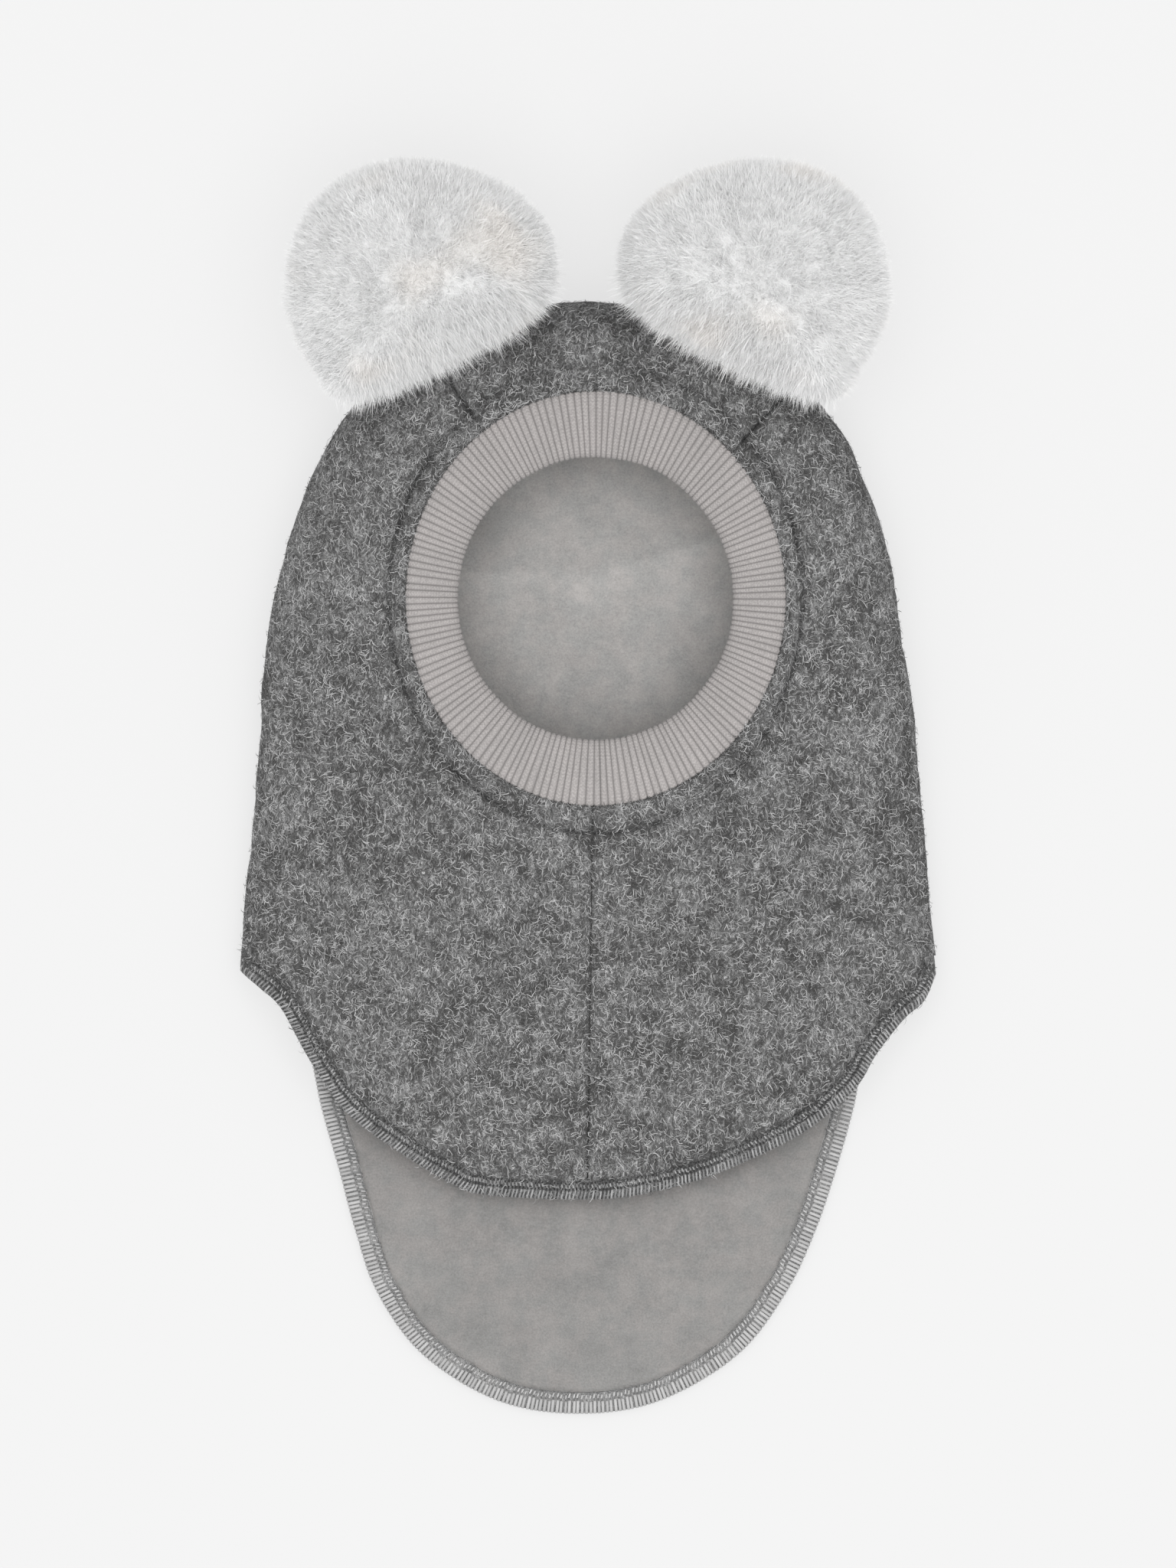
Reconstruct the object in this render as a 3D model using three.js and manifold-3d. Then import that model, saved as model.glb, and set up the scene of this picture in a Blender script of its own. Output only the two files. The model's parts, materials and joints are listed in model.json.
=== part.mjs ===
// A baby's boiled-wool balaclava with two pompom ears, lying on its back with the face up.
// Millimetres. +Z is up, +Y runs from the neck flap to the crown, and the back lies on z = 0.
// Left and right are as seen from the front of the hat, so left is -X.
import * as THREE from "three";
import { mergeVertices } from "three/addons/utils/BufferGeometryUtils.js";
import Module from "manifold-3d";

const DEGREE = Math.PI / 180;

// Cloth
const woolThickness = 2.2;
const liningThickness = 1.4;
const seamGap = 0.3;
const hemGap = 0.4;
const bandGap = 0.5;
const hemWidth = 6.2;
const hemBehind = 7;
const hemThickness = 4;

// Face opening: the ribbed band's outer edge, its hole, and the stitched groove round it
const face = { x: 2.5, y: 64 };
const band = { wide: 64.5, tall: 70.3 };
const hole = { wide: 46.4, tall: 47.7 };
const groove = { wide: 70.5, tall: 80 };
const rollCrest = { at: 3.3, height: 1.3 };
const edgeDip = 0.8;
const grooveDepth = 1.5;
const seamValley = 1;

// Seams, as angles about the face from +X
const rightCrownSeam = 47;
const leftCrownSeam = 124;
const frontSeam = 269.2;

// The line the sides and crown fold along, anticlockwise from under the neck. Below the corners
// it goes on as the larger bag that the bib and the flap are cut from. z is the height of the
// fold above the floor and roll the width over which it rounds off.
const fold = [
  { x: 2.5, y: -228, z: 5, roll: 12 },
  { x: 46, y: -222, z: 5, roll: 12 },
  { x: 86, y: -200, z: 5.5, roll: 12 },
  { x: 110, y: -168, z: 6, roll: 12 },
  { x: 118.5, y: -130, z: 6.5, roll: 12 },
  { x: 120.2, y: -95, z: 7, roll: 12 },
  { x: 118.8, y: -63.5, z: 7, roll: 12 },
  { x: 116.5, y: -47, z: 7.5, roll: 12 },
  { x: 115.5, y: -31.5, z: 8, roll: 12 },
  { x: 114, y: -16, z: 9, roll: 12.5 },
  { x: 112.5, y: 0, z: 10, roll: 13 },
  { x: 111.5, y: 15, z: 11, roll: 13.5 },
  { x: 110, y: 31, z: 12, roll: 14 },
  { x: 106.5, y: 51.5, z: 13, roll: 15 },
  { x: 103.5, y: 72.5, z: 14, roll: 16 },
  { x: 98, y: 93, z: 15, roll: 17 },
  { x: 90, y: 114, z: 16, roll: 18 },
  { x: 82, y: 126, z: 17, roll: 18 },
  { x: 69, y: 140, z: 18, roll: 18 },
  { x: 50, y: 153, z: 18.5, roll: 18 },
  { x: 26, y: 161.5, z: 19, roll: 18 },
  { x: 0, y: 165, z: 19, roll: 18 },
  { x: -26, y: 161.5, z: 19, roll: 18 },
  { x: -50, y: 153, z: 18.5, roll: 18 },
  { x: -69, y: 140, z: 18, roll: 18 },
  { x: -82.5, y: 126, z: 17, roll: 18 },
  { x: -90, y: 114, z: 16, roll: 18 },
  { x: -99, y: 93, z: 15, roll: 17 },
  { x: -104.5, y: 72.5, z: 14, roll: 16 },
  { x: -109, y: 51.5, z: 13, roll: 15 },
  { x: -111, y: 31, z: 12, roll: 14 },
  { x: -111.5, y: 15, z: 11, roll: 13.5 },
  { x: -113, y: 0, z: 10, roll: 13 },
  { x: -114.5, y: -16, z: 9, roll: 12.5 },
  { x: -116, y: -31.5, z: 8, roll: 12 },
  { x: -117.5, y: -47, z: 7.5, roll: 12 },
  { x: -119, y: -62.6, z: 7, roll: 12 },
  { x: -120.5, y: -95, z: 7, roll: 12 },
  { x: -118.5, y: -130, z: 6.5, roll: 12 },
  { x: -109, y: -168, z: 6, roll: 12 },
  { x: -84, y: -200, z: 5.5, roll: 12 },
  { x: -44, y: -222, z: 5, roll: 12 },
];

// The bib's cut edge and the neck flap's, each from the left corner to the right one
const bibEdge = [
  { x: -119, y: -62.6 },
  { x: -112, y: -68 },
  { x: -104.5, y: -75 },
  { x: -95, y: -92 },
  { x: -82.5, y: -110 },
  { x: -64, y: -124 },
  { x: -45.5, y: -135 },
  { x: -34, y: -138.5 },
  { x: -2.5, y: -140 },
  { x: 16.5, y: -138.5 },
  { x: 37, y: -133.5 },
  { x: 53.5, y: -127 },
  { x: 74, y: -116.5 },
  { x: 90.5, y: -102.5 },
  { x: 98, y: -90.5 },
  { x: 107.5, y: -78.5 },
  { x: 114.5, y: -72.5 },
  { x: 118.8, y: -63.5 },
];
const flapEdge = [
  { x: -119, y: -62.6 },
  { x: -111.5, y: -68 },
  { x: -103, y: -75.5 },
  { x: -95, y: -90 },
  { x: -90.5, y: -109.5 },
  { x: -84.5, y: -130.5 },
  { x: -79, y: -151 },
  { x: -71.5, y: -172 },
  { x: -56, y: -193 },
  { x: -30.5, y: -208.5 },
  { x: -3, y: -212.8 },
  { x: 24, y: -208.5 },
  { x: 50.5, y: -193 },
  { x: 67, y: -172 },
  { x: 77, y: -151 },
  { x: 84, y: -130.5 },
  { x: 90, y: -109.5 },
  { x: 94.5, y: -90 },
  { x: 105, y: -77 },
  { x: 113, y: -72 },
  { x: 118.8, y: -63.5 },
];

// How high the front stands along its middle line
const spine = [
  { y: -230, z: 11 },
  { y: -140, z: 18 },
  { y: -110, z: 22 },
  { y: -80, z: 27 },
  { y: -40, z: 35 },
  { y: 0, z: 42 },
  { y: 64, z: 46 },
  { y: 110, z: 48 },
  { y: 170, z: 48 },
];

// Ribbed band's section: along from its outer edge (0) to the hole (1), and height over the edge
const bandSection = [
  { along: 0, up: -0.6 },
  { along: 0.28, up: 0.7 },
  { along: 0.7, up: 0.3 },
  { along: 0.93, up: -0.9 },
  { along: 1, up: -2.7 },
  { along: 0.93, up: -4.5 },
  { along: 0.5, up: -4.9 },
  { along: 0, up: -4.6 },
];

// Pompoms: centre, which way the hat's middle lies, and half their height
const pompoms = [
  { name: "pompom_left", x: -55.8, y: 168.8, inwards: 1 },
  { name: "pompom_right", x: 55.2, y: 168.8, inwards: -1 },
];
const pompomHalf = 45;
// How far the yarn reaches round each pompom, from 0 degrees at the hat's middle up over the top.
// The side against the crown is pressed nearly flat.
const pompomReach = [
  { angle: -175, reach: 47.7 },
  { angle: -157, reach: 46.4 },
  { angle: -142, reach: 46.4 },
  { angle: -130, reach: 49 },
  { angle: -122, reach: 47.5 },
  { angle: -112, reach: 41.5 },
  { angle: -97, reach: 34.1 },
  { angle: -80, reach: 30.6 },
  { angle: -62, reach: 29.2 },
  { angle: -40, reach: 31.5 },
  { angle: -20, reach: 38 },
  { angle: -6, reach: 44.5 },
  { angle: 4, reach: 46.7 },
  { angle: 15, reach: 47.6 },
  { angle: 30, reach: 47.2 },
  { angle: 46, reach: 45.9 },
  { angle: 64, reach: 44 },
  { angle: 80, reach: 43.7 },
  { angle: 95, reach: 44.2 },
  { angle: 111, reach: 45.7 },
  { angle: 128, reach: 47.5 },
  { angle: 146, reach: 48 },
  { angle: 165, reach: 47.3 },
];
const pompomGap = 0.8;

const woolGrey = 0x7d7d7b;
const liningGrey = 0xa09b98;
const ribGrey = 0xb7b1af;
const hemGrey = 0x8b8a88;
const pompomWhite = 0xdcdad6;

// A smooth line through the rows of a table, with its angle and distance about the face
function smoothLine(rows, closed) {
  const steps = 12;
  const line = [];
  const last = closed ? rows.length : rows.length - 1;
  const pick = (i) => rows[closed ? (i + rows.length) % rows.length : Math.min(Math.max(i, 0), last)];
  for (let i = 0; i < last; i += 1) {
    for (let k = 0; k < steps; k += 1) {
      const t = k / steps;
      const point = {};
      for (const key of Object.keys(rows[0])) {
        const [p0, p1, p2, p3] = [pick(i - 1)[key], pick(i)[key], pick(i + 1)[key], pick(i + 2)[key]];
        const bend = 2 * p0 - 5 * p1 + 4 * p2 - p3;
        const twist = 3 * p1 - p0 - 3 * p2 + p3;
        point[key] = 0.5 * (2 * p1 + (p2 - p0) * t + bend * t * t + twist * t * t * t);
      }
      line.push(point);
    }
  }
  line.push({ ...pick(last) });
  let before = null;
  for (const point of line) {
    const dx = point.x - face.x;
    const dy = point.y - face.y;
    point.radius = Math.hypot(dx, dy);
    point.angle = Math.atan2(dy, dx) / DEGREE;
    while (before && point.angle < before.angle - 180) point.angle += 360;
    point.along = before ? before.along + Math.hypot(point.x - before.x, point.y - before.y) : 0;
    before = point;
  }
  return line;
}

// The point of a line at an angle about the face
function atAngle(line, angle) {
  let low = 0;
  let high = line.length - 1;
  while (high - low > 1) {
    const middle = (low + high) >> 1;
    if (line[middle].angle <= angle) low = middle;
    else high = middle;
  }
  const [a, b] = [line[low], line[high]];
  const t = Math.min(Math.max((angle - a.angle) / (b.angle - a.angle), 0), 1);
  const point = {};
  for (const key of Object.keys(a)) point[key] = a[key] + (b[key] - a[key]) * t;
  // the sine of the angle at which a ray from the face crosses the line here
  const ray = Math.atan2(point.y - face.y, point.x - face.x);
  const way = Math.atan2(b.y - a.y, b.x - a.x);
  point.crossing = Math.max(Math.abs(Math.sin(way - ray)), 0.5);
  return point;
}

const foldLine = smoothLine(fold, true);
const rightCorner = Math.atan2(-63.5 - face.y, 118.8 - face.x) / DEGREE;
const leftCorner = Math.atan2(-62.6 - face.y, -119 - face.x) / DEGREE + 360;
const toOpen = (line) => line.map((point) => ({ ...point, angle: point.angle + (point.angle < 0 ? 360 : 0) }));
const bibLine = toOpen(smoothLine(bibEdge, false));
const flapLine = toOpen(smoothLine(flapEdge, false));
const isOpen = (angle) => angle > leftCorner + 1e-6 && angle < rightCorner + 360 - 1e-6;
const foldAt = (angle) => atAngle(foldLine, angle > 270 ? angle - 360 : angle);
const ellipseAt = (size, angle) => 1 / Math.hypot(Math.cos(angle * DEGREE) / size.wide, Math.sin(angle * DEGREE) / size.tall);

function spineAt(y) {
  const i = Math.max(1, Math.min(spine.length - 1, spine.findIndex((row) => row.y >= y)));
  const t = (y - spine[i - 1].y) / (spine[i].y - spine[i - 1].y);
  return spine[i - 1].z + (spine[i].z - spine[i - 1].z) * t;
}

// Heights of the front and the back of the lying hat, at a distance along a ray from the face
function frontHeight(edge, angle, radius) {
  const turn = Math.max(0, 1 - (edge.radius - radius) / (edge.roll / edge.crossing));
  const y = face.y + radius * Math.sin(angle * DEGREE);
  const dome = (spineAt(y) - 2 * edge.z) * (1 - (radius / edge.radius) ** 2);
  return edge.z + edge.z * Math.sqrt(Math.max(0, 1 - turn * turn)) + dome;
}
function backHeight(edge, radius) {
  const turn = Math.max(0, 1 - (edge.radius - radius) / (edge.roll / edge.crossing));
  return edge.z * (1 - Math.sqrt(Math.max(0, 1 - turn * turn)));
}

// One cut through the hat along a ray: the front from the band to the edge, and the back from the
// edge to the point under the face, each as points with the distance walked along the cloth
const cuts = new Map();
function cutAt(angle) {
  if (cuts.has(angle)) return cuts.get(angle);
  const edge = foldAt(angle);
  const bib = isOpen(angle) ? atAngle(bibLine, angle) : edge;
  const flap = isOpen(angle) ? atAngle(flapLine, angle) : edge;
  const inner = ellipseAt(band, angle);
  const walk = (points) => {
    let length = 0;
    return points.map((point, i) => {
      if (i) length += Math.hypot(point.r - points[i - 1].r, point.z - points[i - 1].z);
      return { ...point, length };
    });
  };
  const steps = 90;
  const front = [];
  const back = [];
  for (let i = 0; i <= steps; i += 1) {
    const near = Math.sin((i / steps) * 90 * DEGREE);
    const r = inner + (bib.radius - inner) * near;
    front.push({ r, z: frontHeight(edge, angle, r) });
    back.unshift({ r: flap.radius * near, z: backHeight(edge, flap.radius * near) });
  }
  const cut = { edge, bib, flap, front: walk(front), back: walk(back) };
  cuts.set(angle, cut);
  return cut;
}

function alongCut(points, length) {
  let i = points.findIndex((point) => point.length >= length);
  if (i < 0) i = points.length - 1;
  i = Math.max(i, 1);
  const [a, b] = [points[i - 1], points[i]];
  const t = (length - a.length) / (b.length - a.length);
  return { r: a.r + (b.r - a.r) * t, z: a.z + (b.z - a.z) * t };
}

// A point of the cloth's outer face. On the front, length is measured from the band, and on the
// back from the edge. Past the edge of a folded cut it runs on over the other side.
function clothPoint(angle, side, length) {
  const cut = cutAt(angle);
  const total = cut.front[cut.front.length - 1].length;
  let flat;
  if (side === "front") {
    const over = length > total && !isOpen(angle);
    flat = over ? alongCut(cut.back, length - total) : alongCut(cut.front, length);
  } else {
    flat = length < 0 && !isOpen(angle) ? alongCut(cut.front, total + length) : alongCut(cut.back, length);
  }
  const [c, s] = [Math.cos(angle * DEGREE), Math.sin(angle * DEGREE)];
  return new THREE.Vector3(face.x + flat.r * c, face.y + flat.r * s, flat.z);
}

// Columns of the cloth grid, each a ray from the face. sector names the strip that starts there,
// and shift moves a ray sideways so that two of them hold a seam's gap between them.
const columns = [];
function addColumns(sector, angles) {
  for (const angle of angles) columns.push({ angle, sector, shift: 0 });
}
function between(from, to, count) {
  return Array.from({ length: count }, (_, i) => from + ((to - from) * (i + 1)) / (count + 1));
}
function cornerAngle(corner, distance) {
  const at = atAngle(foldLine, corner).along;
  return foldLine.find((point) => point.along >= at + distance).angle;
}
const block = { right: cornerAngle(rightCorner, hemWidth), left: cornerAngle(leftCorner, -hemWidth) };
const gapTurn = 0.26;
addColumns("right corner", [rightCorner]);
addColumns("right corner gap", [block.right]);
addColumns("right side", [block.right + gapTurn, ...between(block.right, rightCrownSeam, 9)]);
columns.push({ angle: rightCrownSeam, sector: "right crown seam", shift: -seamGap / 2 });
columns.push({ angle: rightCrownSeam, sector: "crown", shift: seamGap / 2 });
addColumns("crown", between(rightCrownSeam, leftCrownSeam, 8));
columns.push({ angle: leftCrownSeam, sector: "left crown seam", shift: -seamGap / 2 });
columns.push({ angle: leftCrownSeam, sector: "left side", shift: seamGap / 2 });
addColumns("left side", between(leftCrownSeam, block.left, 9));
addColumns("left corner gap", [block.left - gapTurn]);
addColumns("left corner", [block.left]);
addColumns("bib left", [leftCorner, leftCorner + 1.2, leftCorner + 2.6, leftCorner + 4.5]);
addColumns("bib left", between(leftCorner + 4.5, frontSeam - 2, 6));
addColumns("bib left", [frontSeam - 2]);
columns.push({ angle: frontSeam, sector: "front seam", shift: -seamGap / 2 });
columns.push({ angle: frontSeam, sector: "bib right", shift: seamGap / 2 });
addColumns("bib right", [frontSeam + 2]);
addColumns("bib right", between(frontSeam + 2, rightCorner + 355.5, 6));
addColumns("bib right", [rightCorner + 355.5, rightCorner + 357.4, rightCorner + 358.8]);

// Rows of the grid. strip names the cells between a row and the next one outwards.
const frontRows = [
  { strip: "roll", from: "band", length: bandGap, dent: -edgeDip },
  { strip: "roll", from: "band", length: rollCrest.at, dent: rollCrest.height },
  { strip: "roll", from: "groove", length: 0, dent: -grooveDepth },
  { strip: "panel", from: "groove", length: 4.5, dent: 0, valley: 0.6 },
  { strip: "panel", from: "share", share: 0.25, dent: 0, valley: 1 },
  { strip: "panel", from: "share", share: 0.5, dent: 0, valley: 1 },
  { strip: "panel", from: "share", share: 0.77, dent: 0, valley: 1 },
  { strip: "gap", from: "edge", length: hemWidth + hemGap, dent: 0 },
  { strip: "hem", from: "edge", length: hemWidth, dent: 0 },
  { strip: "hem", from: "edge", length: hemWidth / 2, dent: 0 },
  { strip: "end", from: "edge", length: 0, dent: 0 },
];
const backRows = [
  { strip: "hem", from: "edge", length: 0 },
  { strip: "hem", from: "edge", length: hemBehind / 2 },
  { strip: "gap", from: "edge", length: hemBehind },
  { strip: "back", from: "edge", length: hemBehind + hemGap },
  { strip: "back", from: "edge", length: 13 },
  { strip: "back", from: "edge", length: 21 },
  { strip: "back", from: "share", share: 0.5 },
  { strip: "end", from: "share", share: 1 },
];

function rowLength(row, side, angle) {
  const cut = cutAt(angle);
  const points = side === "front" ? cut.front : cut.back;
  const total = points[points.length - 1].length;
  const crossing = side === "front" ? cut.bib.crossing : cut.flap.crossing;
  const grooveStart = ellipseAt(groove, angle) - ellipseAt(band, angle);
  if (row.from === "band") return row.length;
  if (row.from === "groove") return grooveStart + row.length;
  if (row.from === "edge" && side === "front") return total - row.length / crossing;
  if (row.from === "edge") return row.length / crossing;
  if (side === "front") {
    const start = grooveStart + 4.5;
    const stop = total - (hemWidth + hemGap) / crossing;
    return start + (stop - start) * row.share;
  }
  const start = 21 / crossing;
  return start + (total - start) * row.share;
}

// Every grid point: its place on the cloth's outer face, the way out of the cloth, and its dent
function gridPoint(column, row, side) {
  const { angle, shift } = column;
  const length = rowLength(row, side, angle);
  const step = 0.3;
  const atCorner = Math.abs(angle - leftCorner) < 1e-6 || Math.abs(angle - rightCorner) < 1e-6;
  const share = length / cutAt(angle)[side].at(-1).length;
  const beside = (turn) => {
    const other = angle + turn;
    return clothPoint(other, side, share * cutAt(other)[side].at(-1).length);
  };
  const turnBack = atCorner && angle < 0 ? 0 : step;
  const turnOn = atCorner && angle > 0 ? 0 : step;
  const across = beside(turnOn).sub(beside(-turnBack));
  const edgeHere = isOpen(angle) && row.length === 0 && row.from === "edge";
  const total = cutAt(angle)[side].at(-1).length;
  const ahead = side === "front" && edgeHere ? 0 : Math.min(step, isOpen(angle) ? total - length : step);
  const behind = side === "back" && edgeHere ? 0 : Math.min(step, side === "front" ? length : step);
  const along = clothPoint(angle, side, length + ahead).sub(clothPoint(angle, side, length - behind));
  const out = across.clone().cross(along).normalize();
  out.multiplyScalar(-1);
  const place = clothPoint(angle, side, length);
  place.x -= shift * Math.sin(angle * DEGREE);
  place.y += shift * Math.cos(angle * DEGREE);
  if (side === "back" && place.z < 1e-6) out.set(0, 0, -1);
  if (row.length === bandGap) out.set(0, 0, 1);
  const seam = shift !== 0 && side === "front" ? seamValley * (row.valley ?? 0) : 0;
  return { place, out, dent: (row.dent ?? 0) - seam };
}

const points = [];
const grid = { front: [], back: [] };
const poleIndex = 0;
points.push({ place: new THREE.Vector3(face.x, face.y, 0), out: new THREE.Vector3(0, 0, -1), dent: 0 });
for (const column of columns) {
  const front = frontRows.map((row) => points.push(gridPoint(column, row, "front")) - 1);
  const back = backRows.map((row, i) => {
    if (i === backRows.length - 1) return poleIndex;
    if (i === 0 && !isOpen(column.angle)) return front[front.length - 1];
    return points.push(gridPoint(column, row, "back")) - 1;
  });
  grid.front.push(front);
  grid.back.push(back);
}

const openSectors = ["bib left", "front seam", "bib right"];
const sideOf = (sector) => (sector.includes("left") ? "left" : "right");

// A closed wall over the chosen cells of the grid, from the outer depth to the inner one
function wallOf(chosen, outer, inner) {
  const triangles = [];
  const edges = new Map();
  const addTriangle = (a, b, c) => {
    if (a === b || b === c || c === a) return;
    triangles.push([a, b, c]);
    for (const [from, to] of [[a, b], [b, c], [c, a]]) {
      if (!edges.delete(`${to},${from}`)) edges.set(`${from},${to}`, [from, to]);
    }
  };
  for (const side of ["front", "back"]) {
    const rows = side === "front" ? frontRows : backRows;
    columns.forEach((column, i) => {
      const next = (i + 1) % columns.length;
      for (let k = 0; k + 1 < rows.length; k += 1) {
        if (!chosen(column.sector, rows[k].strip, side)) continue;
        const [a, b] = [grid[side][i][k], grid[side][i][k + 1]];
        const [c, d] = [grid[side][next][k + 1], grid[side][next][k]];
        addTriangle(a, b, c);
        addTriangle(a, c, d);
      }
    });
  }
  const used = new Map();
  const numbers = [];
  const place = (index, layer) => {
    const key = `${index},${layer}`;
    if (!used.has(key)) {
      const point = points[index];
      const depth = layer === "outer" ? outer(point, index) : inner(point, index);
      const spot = point.place.clone().addScaledVector(point.out, point.dent - depth);
      used.set(key, numbers.length / 3);
      numbers.push(spot.x, spot.y, spot.z);
    }
    return used.get(key);
  };
  const faces = [];
  for (const [a, b, c] of triangles) {
    faces.push(place(a, "outer"), place(b, "outer"), place(c, "outer"));
    faces.push(place(c, "inner"), place(b, "inner"), place(a, "inner"));
  }
  for (const [from, to] of edges.values()) {
    faces.push(place(to, "outer"), place(from, "outer"), place(from, "inner"));
    faces.push(place(to, "outer"), place(from, "inner"), place(to, "inner"));
  }
  return meshGeometry(numbers, faces);
}

function meshGeometry(numbers, faces) {
  const geometry = new THREE.BufferGeometry();
  geometry.setAttribute("position", new THREE.Float32BufferAttribute(numbers, 3));
  geometry.setIndex(faces);
  geometry.computeVertexNormals();
  return geometry;
}

// Which cells each cloth piece takes
function frontPanel(hand) {
  return (sector, strip, side) => {
    if (sector.includes("crown") || sector === "front seam" || sideOf(sector) !== hand) return false;
    if (sector === `${hand} side`) return side === "front" || strip === "hem";
    return side === "front" && (strip === "roll" || strip === "panel");
  };
}
function crownBack(sector, strip, side) {
  return sector === "crown" || (side === "back" && strip === "back");
}
function liningCells(sector, strip, side) {
  if (openSectors.includes(sector) || sector.includes("corner")) return ["roll", "panel", "back"].includes(strip);
  return true;
}
function hemCells(sector, strip) {
  const hemmed = openSectors.includes(sector) || sector === "left corner" || sector === "right corner";
  return hemmed && strip === "hem";
}

// The hem is rounded at the cut edge
const onEdge = new Set();
columns.forEach((column, i) => {
  const open = isOpen(column.angle) || column.angle === leftCorner || column.angle === rightCorner;
  if (open) {
    onEdge.add(grid.front[i].at(-1));
    onEdge.add(grid.back[i][0]);
  }
});

// The ribbed band, swept round the face opening
function ribBand() {
  const turns = 60;
  const numbers = [];
  const faces = [];
  const count = bandSection.length;
  for (let i = 0; i < turns; i += 1) {
    const angle = (i * 360) / turns;
    const outer = ellipseAt(band, angle);
    const inner = ellipseAt(hole, angle);
    const edge = frontHeight(foldAt(angle), angle, outer);
    for (const { along, up } of bandSection) {
      const r = outer + (inner - outer) * along;
      numbers.push(face.x + r * Math.cos(angle * DEGREE), face.y + r * Math.sin(angle * DEGREE), edge + up);
    }
    for (let k = 0; k < count; k += 1) {
      const [a, b] = [i * count + k, i * count + ((k + 1) % count)];
      const [c, d] = [((i + 1) % turns) * count + ((k + 1) % count), ((i + 1) % turns) * count + k];
      faces.push(a, c, b, a, d, c);
    }
  }
  return meshGeometry(numbers, faces);
}

// The crown with everything inside it, a little larger than the wool, to cut the pompoms to
function crownBite() {
  const numbers = [];
  const faces = [];
  const angles = Array.from({ length: 31 }, (_, i) => 8 + (i * 164) / 30);
  const loops = angles.map((angle) => {
    const cut = cutAt(angle);
    const loop = [];
    const [fronts, backs] = [cut.front.at(-1).length, 34];
    for (let k = 0; k <= 14; k += 1) loop.push(["front", (fronts * k) / 14]);
    for (let k = 1; k <= 8; k += 1) loop.push(["back", (backs * k) / 8]);
    return loop.map(([side, length]) => {
      const here = clothPoint(angle, side, length);
      const on = clothPoint(angle, side, length + 0.3).sub(clothPoint(angle, side, Math.max(length - 0.3, 0)));
      const over = clothPoint(angle + 0.3, side, length).sub(clothPoint(angle - 0.3, side, length));
      const out = on.cross(over).normalize();
      const overRoll = side === "front" && length < 9 ? rollCrest.height : 0;
      return here.addScaledVector(out, pompomGap + overRoll);
    });
  });
  const count = loops[0].length;
  for (const loop of loops) for (const p of loop) numbers.push(p.x, p.y, p.z);
  for (let i = 0; i + 1 < loops.length; i += 1) {
    for (let k = 0; k < count; k += 1) {
      const [a, b] = [i * count + k, i * count + ((k + 1) % count)];
      faces.push(a, b, b + count, a, b + count, a + count);
    }
  }
  for (const [i, flip] of [[0, false], [loops.length - 1, true]]) {
    const middle = loops[i].reduce((sum, p) => sum.add(p), new THREE.Vector3()).divideScalar(count);
    const centre = numbers.length / 3;
    numbers.push(middle.x, middle.y, middle.z);
    for (let k = 0; k < count; k += 1) {
      const [a, b] = [i * count + k, i * count + ((k + 1) % count)];
      faces.push(...(flip ? [a, b, centre] : [b, a, centre]));
    }
  }
  return meshGeometry(numbers, faces);
}

const wasm = await Module();
wasm.setup();

function toSolid(geometry) {
  const bare = geometry.clone();
  bare.deleteAttribute("normal");
  bare.deleteAttribute("uv");
  const merged = mergeVertices(bare, 1e-4);
  return new wasm.Manifold(
    new wasm.Mesh({
      numProp: 3,
      vertProperties: new Float32Array(merged.attributes.position.array),
      triVerts: new Uint32Array(merged.index.array),
    }),
  );
}
function fromSolid(solid) {
  const mesh = solid.getMesh();
  return meshGeometry(Array.from(mesh.vertProperties), Array.from(mesh.triVerts));
}

const hat = new THREE.Group();
hat.name = "baby_hat_with_ears";
function addPiece(name, geometry, color, roughness) {
  const material = new THREE.MeshStandardMaterial({ color, roughness, metalness: 0 });
  const mesh = new THREE.Mesh(geometry, material);
  mesh.name = name;
  hat.add(mesh);
}

const skin = () => 0;
const woolInside = () => woolThickness;
const liningOutside = () => woolThickness + seamGap;
const liningInside = () => woolThickness + seamGap + liningThickness;
addPiece("front_panel_left", wallOf(frontPanel("left"), skin, woolInside), woolGrey, 0.95);
addPiece("front_panel_right", wallOf(frontPanel("right"), skin, woolInside), woolGrey, 0.95);
addPiece("crown_back_panel", wallOf(crownBack, skin, woolInside), woolGrey, 0.95);
addPiece("lining", wallOf(liningCells, liningOutside, liningInside), liningGrey, 0.9);
const hemOutside = (point, index) => (onEdge.has(index) ? 0.9 : 0);
const hemInside = (point, index) => (onEdge.has(index) ? hemThickness - 0.9 : hemThickness);
addPiece("hem_overlock", wallOf(hemCells, hemOutside, hemInside), hemGrey, 0.9);
addPiece("rib_band", ribBand(), ribGrey, 0.85);

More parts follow.
